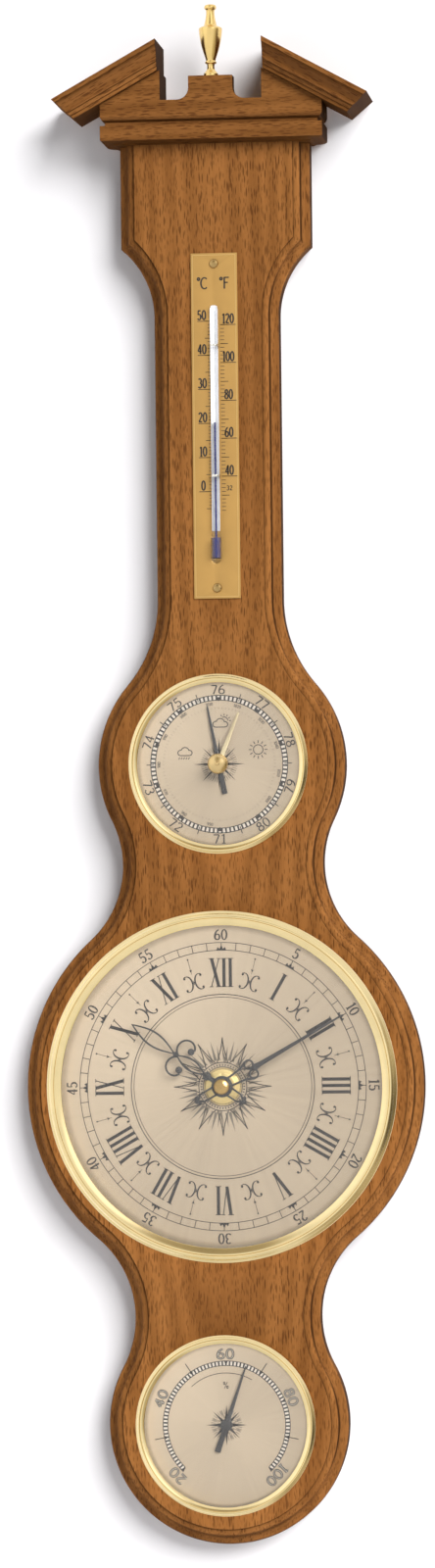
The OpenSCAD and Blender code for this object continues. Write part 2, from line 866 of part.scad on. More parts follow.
module barometer_pointer() {
    facing(baro_z) color(graphite)
        pointer(baro_angle, 28, 2.1, 0.8, 14.3, 2.6, pointer_under, pointer_t, 2.4, 0.9, arbor_r);
}

marker_under = pointer_under + 1.5;

module marker_hand() {
    facing(baro_z) color(brass)
        pointer(marker_angle, 26.3, 2.5, 1.1, 4, 1.2, marker_under, 0.3, 2, 0.5, knob_hole_r - 0.5);
}

knob_r = 4.8;

// The knob's shaft passes through the glass and carries the marker hand behind it
module marker_knob() {
    facing(baro_z) color(brass) {
        disc(knob_hole_r - 0.5, marker_under, glass_top + 0.4);
        disc(knob_hole_r - 0.08, glass_under - 0.15, glass_top + 0.31);
        translate([0, 0, glass_top + 0.3]) rotate_extrude() polygon(concat(
            [[0, 0], [knob_r * 0.72, 0], [knob_r * 0.8, 0.7], [knob_r, 1], [knob_r, 1.5]],
            [for (a = [15:15:75]) [knob_r * cos(a), 1.5 + 2.6 * sin(a)]],
            [[0.9, 4.15], [0.9, 4.35], [0, 4.5]]
        ));
    }
}

module adjusting_screw() {
    facing(baro_z) color(brass) translate([adjust_at.x, adjust_at.y, 0]) difference() {
        union() {
            disc(adjust_r, -19.2, -13.4);
            disc(adjust_r + 0.7, -18.9, -17.6);
        }
        translate([-3, -0.25, -20]) cube([6, 0.5, 1.4]);
    }
}

// Clock

clock_r = clock_bezel_d / 2;
clock_view_r = clock_view_d / 2;
clock_seat_r = clock_view_r + 1.5;
clock_plate_t = 0.9;
clock_dial_top = clock_plate_t + 0.6;
bush_r = 4;
bush_top = 3.7;
glass_edge = clock_bezel_h - 1.6;
dome_rise = 4;
clock_glass_t = 1.6;
lip_clear = 0.2;
dome_r = (clock_seat_r * clock_seat_r + dome_rise * dome_rise) / (2 * dome_rise);

module clock_bezel() {
    facing(clock_z) color(brass) bezel(clock_r, clock_view_r, clock_seat_r, clock_bezel_h);
}

// A shallow dome of even thickness whose rim sits behind the bezel's lip
module clock_glass() {
    rim = clock_seat_r - 0.05;
    outer = [for (i = [0:12]) let (r = rim * i / 12)
        [r, glass_edge - lip_clear + dome_rise - dome_r + sqrt(dome_r * dome_r - r * r)]];
    facing(clock_z) color(glass_tint, 0.3) rotate_extrude($fn = 180) polygon(concat(
        outer,
        [for (i = [12:-1:0]) [outer[i].x, outer[i].y - clock_glass_t]]
    ));
}

module clock_dial() {
    facing(clock_z) color(champagne)
        ring(clock_seat_r - 0.1, bush_r + 0.3, clock_plate_t, clock_dial_top);
}

module clock_backplate() {
    facing(clock_z) color(steel) difference() {
        ring(clock_seat_r - 0.1, bush_r + 0.1, 0, clock_plate_t);
        at_backplate_screws() disc(1.3, -1, 3);
    }
}

module backplate_screws() {
    facing(clock_z) color(steel) at_backplate_screws() disc(1.1, -9, clock_plate_t - 0.1);
}

move_half = movement_w / 2;
move_back = -movement_t;
shell = 1.2;
bay_top = -11.4;
bay_wall = 0.8;
battery_r = 7.25;
battery_l = 50.5;
battery_at = [bay_top - bay_wall - 0.3 - battery_r, -shell - 0.3 - battery_r];
arbor_clear = 0.08;
pipe_r = 2.5;
minute_arbor_r = 1.6;

// Wheel positions in the movement, seen from the front
gear_m = 0.5;
reach = 12;
wheel_bearing = 150;
wheel_turn = wheel_bearing + 185;
wheel_at = on_circle([0, 0], reach, wheel_bearing);
knob_bearing = wheel_turn + 120;
knob_at = on_circle(wheel_at, reach, knob_bearing);
fine_m = 0.35;
third_bearing = 35;
third_at = on_circle([0, 0], (60 + 8) * fine_m / 2, third_bearing);
rotor_at = [22, 5];
pivot_r = 0.6;

// Front shell of the movement: face with a threaded bush, side walls and the battery bay
module movement_case() {
    facing(clock_z) color(black_plastic) difference() {
        union() {
            bar([-move_half, -move_half], [move_half, move_half], move_back + shell, 0);
            disc(bush_r, -0.01, bush_top);
        }
        bar([-move_half + shell, bay_top], [move_half - shell, move_half - shell],
            move_back - 1, -shell);
        bar([-move_half + shell, -move_half - 1], [move_half - shell, bay_top - bay_wall],
            move_back - 1, -shell);
        disc(pipe_r + arbor_clear, -shell - 1, 7);
        for (at = [wheel_at, third_at, rotor_at])
            translate([at.x, at.y, -shell - 1]) cylinder(r = pivot_r + 0.06, h = 1.8);
    }
}

cover_top = move_back + shell;
knob_stem_r = 1.5;

module movement_cover() {
    facing(clock_z) color("#303337") difference() {
        union() {
            bar([-move_half, bay_top], [move_half, move_half], move_back, cover_top);
            bar([-move_half, -move_half], [-move_half + shell, bay_top], move_back, cover_top);
            bar([move_half - shell, -move_half], [move_half, bay_top], move_back, cover_top);
        }
        translate([knob_at.x, knob_at.y, move_back - 1]) cylinder(r = knob_stem_r + 0.08, h = 4);
        disc(minute_arbor_r * 0.6 + 0.06, cover_top - 0.7, cover_top + 1);
        for (at = [wheel_at, third_at, rotor_at])
            translate([at.x, at.y, cover_top - 0.7]) cylinder(r = pivot_r + 0.06, h = 2);
    }
}

module movement_nut() {
    facing(clock_z) color(brass) difference() {
        union() {
            disc(8, clock_dial_top, clock_dial_top + 0.5);
            disc(6.2, clock_dial_top + 0.5, clock_dial_top + 2.1);
        }
        disc(bush_r, 0, 8);
        for (a = [0, 90])
            rotate([0, 0, a]) translate([-8, -0.7, clock_dial_top + 1.3]) cube([16, 1.4, 3]);
    }
}

module minute_arbor() {
    facing(clock_z) color("#d9d2bd") {
        disc(minute_arbor_r, -13.6, minute_arbor_top);
        disc(minute_arbor_r * 0.6, cover_top - 0.4, -13.59);
        gear(12, gear_m, -7.6, -5.8, wheel_bearing);
        gear(60, fine_m, -11, -10, third_bearing);
    }
}

module minute_wheel() {
    facing(clock_z) color("#e6e2d4") translate([wheel_at.x, wheel_at.y, 0]) {
        disc(pivot_r, cover_top - 0.4, -shell + 0.5);
        gear(36, gear_m, -7.4, -6, wheel_turn);
        gear(10, 0.48, -6.01, -2.2, wheel_bearing + 198);
    }
}

module hour_wheel() {
    facing(clock_z) color("#e6e2d4") difference() {
        union() {
            gear(40, 0.48, -4, -2.6, wheel_bearing);
            disc(pipe_r, -4.6, hour_pipe_top);
        }
        disc(minute_arbor_r + arbor_clear, -6, 9);
    }
}

module third_wheel() {
    facing(clock_z) color("#e6e2d4") translate([third_at.x, third_at.y, 0]) {
        disc(pivot_r, cover_top - 0.4, -shell + 0.5);
        gear(8, fine_m, -12.21, -9.6, third_bearing + 202.5);
        gear(48, fine_m, -13.2, -12.2, 0);
    }
}

module stepping_rotor() {
    facing(clock_z) color("#55585c") translate([rotor_at.x, rotor_at.y, 0]) {
        disc(pivot_r, cover_top - 0.4, -shell + 0.5);
        disc(2.4, -10, -7);
        gear(8, 0.3, -7.01, -5.4, 0);
    }
}

coil_y = 22.5;

// Soft iron legs from the coil down to a ring about the rotor, and the winding on its former
module stator_coil() {
    facing(clock_z) {
        color(steel) difference() {
            union() {
                bar([1.5, coil_y - 1.2], [26.2, coil_y + 1.2], -9, -8.2);
                bar([20, rotor_at.y], [26, coil_y], -9, -8.2);
                translate([rotor_at.x, rotor_at.y, -9]) cylinder(r = 4.4, h = 0.8);
            }
            translate([rotor_at.x, rotor_at.y, -10]) cylinder(r = 2.9, h = 3);
        }
        color("#b5652d") translate([3, coil_y, -8.6]) rotate([0, 90, 0]) cylinder(r = 2.7, h = 14);
    }
}

module circuit_board() {
    facing(clock_z) color("#2e6b3c") {
        bar([-4, 14.5], [26, 26.4], -4.2, -3.2);
        bar([6, 18], [10, 22], -5, -4.19);
        bar([14, 19], [20, 21], -5.4, -4.19);
    }
}

module setting_knob() {
    facing(clock_z) color("#d8d8d2") translate([knob_at.x, knob_at.y, 0]) {
        disc(knob_stem_r, move_back - 0.4, -5.6);
        gear(12, gear_m, -7.4, -6, knob_bearing + 195);
        difference() {
            disc(5.5, move_back - 3.2, move_back - 0.4);
            for (a = [0:30:330])
                rotate([0, 0, a]) translate([5.9, 0, move_back - 4]) cylinder(r = 0.8, h = 5);
        }
    }
}

module battery() {
    facing(clock_z) translate([0, battery_at[0], battery_at[1]]) rotate([0, 90, 0]) {
        color("#c9772e") translate([0, 0, -battery_l / 2]) cylinder(r = battery_r, h = battery_l - 1.2);
        color(steel) translate([0, 0, battery_l / 2 - 1.21]) cylinder(r = 2.7, h = 1.21);
    }
}

module battery_contacts() {
    facing(clock_z) color(steel)
        for (s = [-1, 1]) {
            x = s * (battery_l / 2 + 0.75);
            bar([x - 0.2, battery_at[0] - 4], [x + 0.2, battery_at[0] + 4], -14, -2.5);
            bar([x - 0.2, battery_at[0] + 3.99], [x + 0.2, bay_top - bay_wall], -5, -2.5);
        }
}

// Hands of the clock, flat and pierced. Local Y runs from the arbor towards the tip.

line_w = 0.9;

// A pointed leaf from y0 to y1
function leaf(y0, y1, half) = [
    for (side = [1, -1])
        for (i = [0:11])
            let (t = side > 0 ? i / 12 : 1 - i / 12)
            [side * half * sin(180 * t), y0 + (y1 - y0) * t]
];

module pierced_leaf(y0, y1, half) {
    trim = 1.6 * line_w;
    difference() {
        polygon(leaf(y0, y1, half));
        polygon(leaf(y0 + trim, y1 - trim, half - line_w));
    }
}

// A band of even width along a spiral about c
module spiral_band(c, r0, r1, a0, a1, w, n = 20) {
    function at(i, off) = on_circle(c, r0 + (r1 - r0) * i / n + off, a0 + (a1 - a0) * i / n);
    polygon(concat([for (i = [0:n]) at(i, w / 2)], [for (i = [n:-1:0]) at(i, -w / 2)]));
}

// An open fork from the hub to a small three-lobed end
module hand_tail(y_end) {
    for (s = [-1, 1]) {
        polygon([
            [s * 1.6, -3.8], [s * 2.5, -3.4], [s * 2.3, y_end + 3], [s * 0.4, y_end + 1],
            [s * 0.2, y_end + 2.2], [s * 1.5, y_end + 3.6],
        ]);
        translate([s * 1.5, y_end + 1.2]) circle(r = 0.9, $fn = 24);
    }
    translate([0, y_end + 0.6]) circle(r = 1.3, $fn = 32);
}

hour_tip = 52;
hour_hub_r = 5;
hour_hand_z = 4.3;
minute_tip = 66.5;
minute_hand_z = 5.9;
hand_t = 0.5;
hour_pipe_top = 5.4;
minute_arbor_top = 7.4;

module hour_outline() {
    circle(r = hour_hub_r);
    translate([0, 8.6]) circle(r = 2, $fn = 40);
    polygon([[-1.2, 4], [1.2, 4], [0.9, 11], [-0.9, 11]]);
    pierced_leaf(9.2, 26.6, 3);
    translate([0, 26.4]) circle(r = 1.4, $fn = 32);
    for (s = [0, 1])
        mirror([s, 0]) {
            spiral_band([5.1, 23.2], 5.2, 3.4, 146, -70, line_w);
            translate([5.1, 21.2]) circle(r = 1.6, $fn = 32);
        }
    pierced_leaf(26.6, hour_tip, 3.6);
    hand_tail(-13);
}

module minute_outline() {
    circle(r = 4.4);
    for (s = [0, 1])
        mirror([s, 0]) {
            polygon([[1.4, 3.6], [2.3, 3.2], [3.3, 11.5], [5, 15], [4.2, 15.4], [2.3, 11.8]]);
            difference() {
                translate([2.5, 16.1]) circle(r = 2.5, $fn = 48);
                translate([2.5, 16.1]) circle(r = 1.6, $fn = 48);
            }
        }
    polygon([
        [-0.8, 15.4], [-1.5, 18.6], [-1.1, 21], [-0.4, minute_tip - 1], [0, minute_tip],
        [0.4, minute_tip - 1], [1.1, 21], [1.5, 18.6], [0.8, 15.4],
    ]);
    hand_tail(-14);
}

module hour_hand() {
    facing(clock_z) color(graphite) clockwise(hour_angle) difference() {
        union() {
            translate([0, 0, hour_hand_z]) linear_extrude(hand_t) hour_outline();
            disc(3.6, hour_hand_z - 0.2, hour_hand_z + hand_t + 0.2);
        }
        disc(pipe_r, 0, 20);
    }
}

module minute_hand() {
    facing(clock_z) color(graphite) clockwise(minute_angle) difference() {
        union() {
            translate([0, 0, minute_hand_z]) linear_extrude(hand_t) minute_outline();
            disc(3, minute_hand_z - 0.2, minute_hand_z + hand_t);
        }
        disc(minute_arbor_r, 0, 20);
    }
}

module hand_cap_nut() {
    cap_r = 3.7;
    z0 = minute_hand_z + hand_t;
    facing(clock_z) color(brass) difference() {
        translate([0, 0, z0]) rotate_extrude() polygon(concat(
            [[0, 0], [cap_r, 0], [cap_r, 1.2]],
            [for (a = [15:15:75]) [cap_r * cos(a), 1.2 + 1.7 * sin(a)]],
            [[0, 2.9]]
        ));
        disc(minute_arbor_r, z0 - 1, minute_arbor_top + 0.1);
    }
}

// Hygrometer: a coil of moisture-sensitive strip turns the pointer's arbor as it curls

module hygrometer_bezel() {
    small_bezel(hygro_z);
}

module hygrometer_glass() {
    small_glass(hygro_z, 0);
}

module hygrometer_dial() {
    small_dial(hygro_z, 1.4);
}

module hygrometer_case() {
    small_case(hygro_z, 3, adjust_at);
}

// A flat bridge on two pillars; it carries the arbor, and an arm holds the coil's outer end
module hygrometer_bridge() {
    facing(hygro_z) color("#b89b52") {
        difference() {
            union() {
                bar([-26, -3], [26, 3], bridge_z0, bridge_z1);
                bar([-26, -3], [26, 3], drum_back + wall, drum_back + wall + 1.2);
            }
            disc(arbor_r + 0.08, drum_back + wall + 0.3, bridge_z1 + 1);
        }
        for (x = [-24, 24])
            translate([x, 0, drum_back + wall]) cylinder(r = 2, h = bridge_z0 - drum_back);
        bar([12.87, -1], [14.07, 1], -12, bridge_z0 + 0.01);
    }
}

module hygroscopic_coil() {
    turns = 5;
    start_r = 2.1;
    step_r = 2.1;
    half_t = 0.22;
    angles = [for (a = [0:20:turns * 360]) a];
    facing(hygro_z) color("#caa45a") translate([0, 0, -11]) linear_extrude(4) polygon(concat(
        [for (a = angles) on_circle([0, 0], start_r + step_r * a / 360 + half_t, a)],
        [for (i = [len(angles) - 1:-1:0])
            on_circle([0, 0], start_r + step_r * angles[i] / 360 - half_t, angles[i])]
    ));
}

module hygrometer_pointer() {
    facing(hygro_z) color(graphite) {
        pointer(hygro_angle, 29.4, 2.2, 0.7, 13.3, 2.8, pointer_under, pointer_t, 2.9, 0.9, 0);
        disc(arbor_r, drum_back + wall + 0.4, pointer_under + 0.01);
        disc(1.3, -11.6, -6.4);
    }
}

backboard();
cornice_moulding();
pediment_board();
left_rake_moulding();
right_rake_moulding();
pediment_dowels();
finial();
finial_stud();
hanger_plate();
hanger_screws();
wall_pads();
thermometer_plate();
thermometer_tube();
thermometer_fill();
tube_clips();
plate_screws();
barometer_bezel();
barometer_glass();
barometer_dial();
barometer_case();
instrument_gaskets();
barometer_base_plate();
aneroid_capsule();
capsule_spring();
rocker_lever();
arbor_bridge();
barometer_arbor();
hairspring();
barometer_pointer();
marker_hand();
marker_knob();
adjusting_screw();
clock_bezel();
clock_glass();
clock_dial();
clock_backplate();
backplate_screws();
movement_case();
movement_cover();
movement_nut();
minute_arbor();
minute_wheel();
hour_wheel();
third_wheel();
stepping_rotor();
stator_coil();
circuit_board();
setting_knob();
battery();
battery_contacts();
hour_hand();
minute_hand();
hand_cap_nut();
hygrometer_bezel();
hygrometer_glass();
hygrometer_dial();
hygrometer_case();
hygrometer_bridge();
hygroscopic_coil();
hygrometer_pointer();
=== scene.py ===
import math
from functools import cache

import bmesh
import bpy
from mathutils import Matrix, Vector
from mathutils.geometry import tessellate_polygon


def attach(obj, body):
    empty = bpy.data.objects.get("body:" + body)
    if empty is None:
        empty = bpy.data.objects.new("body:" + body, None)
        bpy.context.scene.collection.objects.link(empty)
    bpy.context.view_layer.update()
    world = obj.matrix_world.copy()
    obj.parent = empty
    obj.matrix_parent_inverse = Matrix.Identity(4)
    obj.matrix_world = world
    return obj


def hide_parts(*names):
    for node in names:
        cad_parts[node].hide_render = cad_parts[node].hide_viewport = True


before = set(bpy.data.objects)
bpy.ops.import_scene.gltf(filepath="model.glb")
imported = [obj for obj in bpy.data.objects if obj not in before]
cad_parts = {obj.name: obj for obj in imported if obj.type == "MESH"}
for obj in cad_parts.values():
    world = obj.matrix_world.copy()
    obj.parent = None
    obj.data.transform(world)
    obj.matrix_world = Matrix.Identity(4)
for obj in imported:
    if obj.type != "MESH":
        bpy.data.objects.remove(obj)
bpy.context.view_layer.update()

bl_info = {
    "name": "Wall weather station",
    "version": (1, 0, 0),
    "blender": (4, 5, 0),
    "location": "View3D > Sidebar > Station",
    "description": "Banjo-shaped wall weather station with its woodwork, dials, hands and brasswork",
    "category": "Object",
}

MM = 0.001

# Places of the parts, in millimetres from the centre of the hanging hole
BOARD_FRONT = -22.0
BOARD_BACK = -2.0
TOP_Z = 27.0
BARO_Z = -266.0
CLOCK_Z = -417.3
HYGRO_Z = -575.6
PLINTH_Z = 58.2
FINIAL_Y = -25.6
TUBE_Y = -25.4


# Settings

class StationWood(bpy.types.PropertyGroup):
    """Stain, pores and lacquer of the woodwork"""
    light: bpy.props.FloatVectorProperty(
        name="Light stain", description="Colour of the pale grain", subtype="COLOR",
        default=(0.29, 0.118, 0.032), min=0, max=1)
    dark: bpy.props.FloatVectorProperty(
        name="Dark stain", description="Colour of the dark grain", subtype="COLOR",
        default=(0.178, 0.0685, 0.0172), min=0, max=1)
    pores: bpy.props.FloatVectorProperty(
        name="Pores", description="Colour of the open pores", subtype="COLOR",
        default=(0.055, 0.017, 0.005), min=0, max=1)
    gloss: bpy.props.FloatProperty(
        name="Lacquer", description="Weight of the lacquer's coat", default=0.08, min=0, max=1)


class StationMetal(bpy.types.PropertyGroup):
    """Colours of the brasswork"""
    polished: bpy.props.FloatVectorProperty(
        name="Polished brass", description="Colour of bezels, finial and knobs", subtype="COLOR",
        default=(0.93, 0.755, 0.41), min=0, max=1)
    plate: bpy.props.FloatVectorProperty(
        name="Scale plate", description="Colour of the thermometer's plate", subtype="COLOR",
        default=(0.56, 0.33, 0.10), min=0, max=1)
    hands: bpy.props.FloatVectorProperty(
        name="Hands", description="Colour of hands and pointers", subtype="COLOR",
        default=(0.035, 0.032, 0.03), min=0, max=1)


class StationDials(bpy.types.PropertyGroup):
    """Dial faces and their print"""
    face: bpy.props.FloatVectorProperty(
        name="Face", description="Colour of the brushed faces", subtype="COLOR",
        default=(0.44, 0.352, 0.25), min=0, max=1)
    ink: bpy.props.FloatVectorProperty(
        name="Ink", description="Colour of the print", subtype="COLOR",
        default=(0.022, 0.018, 0.016), min=0, max=1)
    figure_height: bpy.props.FloatProperty(
        name="Minute figures", description="Height of the clock's minute figures",
        subtype="DISTANCE", unit="LENGTH", default=0.0049, min=0.003, max=0.006)


class StationStage(bpy.types.PropertyGroup):
    """Camera and light"""
    target: bpy.props.FloatVectorProperty(
        name="Target", description="Point of the station that the camera looks at",
        subtype="XYZ", unit="LENGTH", default=(-0.0013, -0.02, -0.2752))
    azimuth: bpy.props.FloatProperty(
        name="Azimuth", description="Turn of the line of sight to the side, from square on",
        subtype="ANGLE", unit="ROTATION", default=math.radians(6.16))
    elevation: bpy.props.FloatProperty(
        name="Elevation", description="Tilt of the line of sight, from level",
        subtype="ANGLE", unit="ROTATION", default=math.radians(-1.86))
    roll: bpy.props.FloatProperty(
        name="Roll", description="Turn of the camera about its line of sight",
        subtype="ANGLE", unit="ROTATION", default=math.radians(-0.65))
    distance: bpy.props.FloatProperty(
        name="Distance", description="Distance of the camera from the target",
        subtype="DISTANCE", unit="LENGTH", default=3.0, min=0.5, max=20)
    tall: bpy.props.FloatProperty(
        name="Frame height", description="Height of the picture at the target",
        subtype="DISTANCE", unit="LENGTH", default=0.7374, min=0.1, max=4)
    key: bpy.props.FloatProperty(
        name="Key light", description="Strength of the broad key light", default=4.6, min=0)
    rear: bpy.props.FloatProperty(
        name="Rear light", description="Strength of the light from behind the wall", default=1.5, min=0)
    fill: bpy.props.FloatProperty(
        name="Fill light", description="Strength of the light from all round", default=0.12, min=0)


def settings(group):
    """The scene's values for the wood, the metal, the dials or the stage"""
    return getattr(bpy.context.scene, f"station_{group}")


# Node trees

COLOUR = "NodeSocketColor"
FLOAT = "NodeSocketFloat"
VECTOR = "NodeSocketVector"


class Signal:
    """An output of a node, which takes part in sums like a plain number"""

    def __init__(self, socket):
        self.socket = socket
        self.tree = socket.id_data

    def maths(self, operation, other=0.0):
        return from_node(self.tree, "ShaderNodeMath", {0: self, 1: other}, operation=operation)

    def __add__(self, other):
        return self.maths("ADD", other)

    def __sub__(self, other):
        return self.maths("SUBTRACT", other)

    def __mul__(self, other):
        return self.maths("MULTIPLY", other)

    def __truediv__(self, other):
        return self.maths("DIVIDE", other)


def feed(socket, value):
    """Give an input a signal, a colour or a plain value"""
    if isinstance(value, Signal):
        value.tree.links.new(value.socket, socket)
    elif socket.type == "RGBA":
        socket.default_value = (*value[:3], 1)
    else:
        socket.default_value = value


def feed_all(node, inputs):
    """Feed a node's inputs, by name or by number"""
    for key, value in inputs.items():
        feed(node.inputs[key], value)


def add_node(tree, kind, inputs, **choices):
    """A new node with its choices made and its inputs fed"""
    node = tree.nodes.new(kind)
    for name, value in choices.items():
        setattr(node, name, value)
    feed_all(node, inputs)
    return node


def from_node(tree, kind, inputs, output=0, **choices):
    """What a new node puts out"""
    return Signal(add_node(tree, kind, inputs, **choices).outputs[output])


def stretched(vector, by):
    """A vector multiplied along each axis"""
    return from_node(vector.tree, "ShaderNodeVectorMath", {0: vector, 1: by}, operation="MULTIPLY")


def axes(vector):
    """The three numbers of a vector"""
    apart = add_node(vector.tree, "ShaderNodeSeparateXYZ", {0: vector})
    return [Signal(socket) for socket in apart.outputs]


def vector_of(x, y, z):
    """A vector from three numbers, of which one at least is a signal"""
    tree = next(part.tree for part in (x, y, z) if isinstance(part, Signal))
    return from_node(tree, "ShaderNodeCombineXYZ", {0: x, 1: y, 2: z})


def noise(vector, scale, detail=2.0, roughness=0.5):
    """A soft random pattern of a vector"""
    return from_node(vector.tree, "ShaderNodeTexNoise", {
        "Vector": vector, "Scale": scale, "Detail": detail, "Roughness": roughness,
    }, "Fac")


def ramp(value, low, high, to_low=0.0, to_high=1.0):
    """Value between two limits, taken smoothly to two others"""
    return from_node(value.tree, "ShaderNodeMapRange", {
        "Value": value, "From Min": low, "From Max": high, "To Min": to_low, "To Max": to_high,
    }, interpolation_type="SMOOTHSTEP")


def blend_colour(tree, share, a, b, blend="MIX"):
    """Two colours mixed by a share"""
    return from_node(tree, "ShaderNodeMix", {0: share, 6: a, 7: b}, 2, data_type="RGBA", blend_type=blend)


def group_inputs(tree):
    """The inputs of a group as signals, by name"""
    return {socket.name: Signal(socket) for socket in tree.nodes.new("NodeGroupInput").outputs}


def shader_group(name, inputs):
    """A shader group with named inputs that puts out a colour, a roughness and a height"""
    tree = bpy.data.node_groups.new(name, "ShaderNodeTree")
    for label, kind in inputs.items():
        tree.interface.new_socket(label, in_out="INPUT", socket_type=kind)
    for label, kind in (("Color", COLOUR), ("Roughness", FLOAT), ("Height", FLOAT)):
        tree.interface.new_socket(label, in_out="OUTPUT", socket_type=kind)
    return tree, group_inputs(tree), tree.nodes.new("NodeGroupOutput").inputs


@cache
def wood_group():
    """Stained open-pored wood with its grain along Z, with painted shade blended in where its shade input
    asks
    """
    tree, source, result = shader_group("Wood grain", {
        "Vector": VECTOR, "Light": COLOUR, "Dark": COLOUR, "Pores": COLOUR, "Recess": FLOAT,
    })
    place = source["Vector"]

    def pattern(stretch, detail, roughness=0.5):
        """A random pattern, finer along the axes that are stretched"""
        return noise(stretched(place, stretch), 1.0, detail, roughness)

    def dashes(width, length, keep, core):
        """Short lines along the grain, some of them left out"""
        cells = add_node(tree, "ShaderNodeTexVoronoi", {
            "Vector": stretched(place, (1 / width, 1 / width, 1 / length)), "Scale": 1.0,
        })
        spots = ramp(Signal(cells.outputs["Distance"]), core * 0.5, core, 1.0, 0.0)
        chance = from_node(tree, "ShaderNodeSeparateColor", {0: Signal(cells.outputs["Color"])})
        return spots * ramp(chance, keep, keep + 0.25)

    squeezed = stretched(place, (1, 0.5, 0.085))
    across = from_node(tree, "ShaderNodeVectorMath", {0: squeezed}, "Value", operation="LENGTH")
    wander = pattern((16, 16, 5), 3.0)
    rings = (across * 900 + wander * 16).maths("SINE") * 0.5 + 0.5
    cloud = pattern((34, 34, 7), 4.0, 0.6)
    fibre = pattern((1300, 1300, 42), 2.0, 0.6)
    crowd = ramp(pattern((26, 26, 9), 2.0), 0.3, 0.6, 0.55, 1.0)
    long_pores = dashes(width=0.001, length=0.0072, keep=0.0, core=0.42) * crowd
    short_pores = dashes(width=0.0007, length=0.004, keep=0.05, core=0.4) * 0.7
    pores = long_pores.maths("MAXIMUM", short_pores)
    tone = ramp(cloud * 0.75 + (rings * 0.22 + fibre * 0.42), 0.38, 1.02)
    ground = blend_colour(tree, tone, source["Dark"], source["Light"])
    pored = blend_colour(tree, pores * 0.68, ground, source["Pores"])
    # Painted shade: a near-black brown made from the dark stain, blended over the wood as far as the shade
    # input asks
    stain = blend_colour(tree, 1.0, source["Dark"], (0.16, 0.15, 0.14), "MULTIPLY")
    feed(result["Color"], blend_colour(tree, source["Recess"] * 0.95, pored, stain))
    feed(result["Roughness"], pores * 0.2 + 0.42)
    feed(result["Height"], fibre * 0.25 - pores)
    return tree


@cache
def wear_group():
    """Faint smudges and hairlines that vary a surface's colour and gloss"""
    tree, source, result = shader_group("Handling", {
        "Vector": VECTOR, "Color": COLOUR, "Roughness": FLOAT, "Spread": FLOAT,
    })
    smudge = noise(source["Vector"], 60.0, 3.0, 0.6)
    lines = noise(stretched(source["Vector"], (2600, 2600, 140)), 1.0, 1.0)
    dull = (smudge - 0.5) * 1.4 + 0.5
    darker = blend_colour(tree, 0.82, (0, 0, 0), source["Color"])
    feed(result["Color"], blend_colour(tree, dull, darker, source["Color"]))
    feed(result["Roughness"], source["Roughness"] + (smudge - 0.4) * source["Spread"] + lines * 0.03)
    feed(result["Height"], lines * 0.3 + smudge)
    return tree


@cache
def brushed_group():
    """A disc brushed round its centre, with broad soft rays of light and shade"""
    tree, source, result = shader_group("Brushed disc", {"Vector": VECTOR, "Color": COLOUR, "Rim": FLOAT})
    x, _, z = axes(source["Vector"])
    angle = z.maths("ARCTAN2", x)
    far = (x * x + z * z).maths("SQRT")
    # Painted light and shade: a broad sheen in two opposed pairs of sectors, one side lighter and the other
    # darker, and a painted shadow along the rim under the bezel
    broad = (angle * 2.0 + 1.35).maths("COSINE") * 0.055
    painted_side_shade = (angle + 0.6).maths("COSINE") * ramp(far, 0.0, 0.045, 0.0, -0.13)
    rays = noise(vector_of(angle.maths("COSINE") * 26, angle.maths("SINE") * 26, far * 12), 1.0, 3.0, 0.65)
    grooves = noise(vector_of(far * 5200, angle * 1.5, 0), 1.0, 2.0, 0.6)
    speckle = noise(source["Vector"], 900.0, 2.0, 0.7)
    painted_rim_shadow = ramp(far / source["Rim"], 0.955, 1.0, 0.0, -0.4)
    shade = painted_side_shade + broad + painted_rim_shadow
    bright = shade + (rays - 0.5) * 0.22 + (grooves - 0.5) * 0.13 + (speckle - 0.5) * 0.12 + 1.0
    grey = vector_of(bright, bright, bright)
    feed(result["Color"], blend_colour(tree, 1.0, source["Color"], grey, "MULTIPLY"))
    feed(result["Roughness"], grooves * 0.12 + 0.36)
    feed(result["Height"], grooves)
    return tree


# Materials

def new_material(name):
    """A material with only its output and a Principled shader"""
    material = bpy.data.materials.new(name)
    material.use_nodes = True
    tree = material.node_tree
    tree.nodes.clear()
    shader = tree.nodes.new("ShaderNodeBsdfPrincipled")
    add_node(tree, "ShaderNodeOutputMaterial", {0: Signal(shader.outputs[0])})
    return material, tree, shader


def place_node(tree, shift=(0, 0, 0), turn=(0, 0, 0)):
    """Object coordinates, moved and turned"""
    place = from_node(tree, "ShaderNodeTexCoord", {}, "Object")
    return from_node(tree, "ShaderNodeMapping", {"Vector": place, "Location": shift, "Rotation": turn})


def relief(shader, height, strength, depth=0.0002):
    """Feed the shader's normal from a height"""
    feed(shader.inputs["Normal"], from_node(shader.id_data, "ShaderNodeBump", {
        "Strength": strength, "Distance": depth, "Height": height,
    }))


def use_group(group, shader, bump, **inputs):
    """Place a group beside the shader and feed the shader from it"""
    made = add_node(shader.id_data, "ShaderNodeGroup", {}, node_tree=group)
    feed_all(made, inputs)
    feed(shader.inputs["Base Color"], Signal(made.outputs["Color"]))
    feed(shader.inputs["Roughness"], Signal(made.outputs["Roughness"]))
    relief(shader, Signal(made.outputs["Height"]), bump)


def see_through(tree, shader, share):
    """Let a share of the light pass straight through a material"""
    clear = from_node(tree, "ShaderNodeBsdfTransparent", {})
    output = next(node for node in tree.nodes if node.type == "OUTPUT_MATERIAL")
    mixed = from_node(tree, "ShaderNodeMixShader", {0: share, 1: Signal(shader.outputs[0]), 2: clear})
    feed(output.inputs[0], mixed)


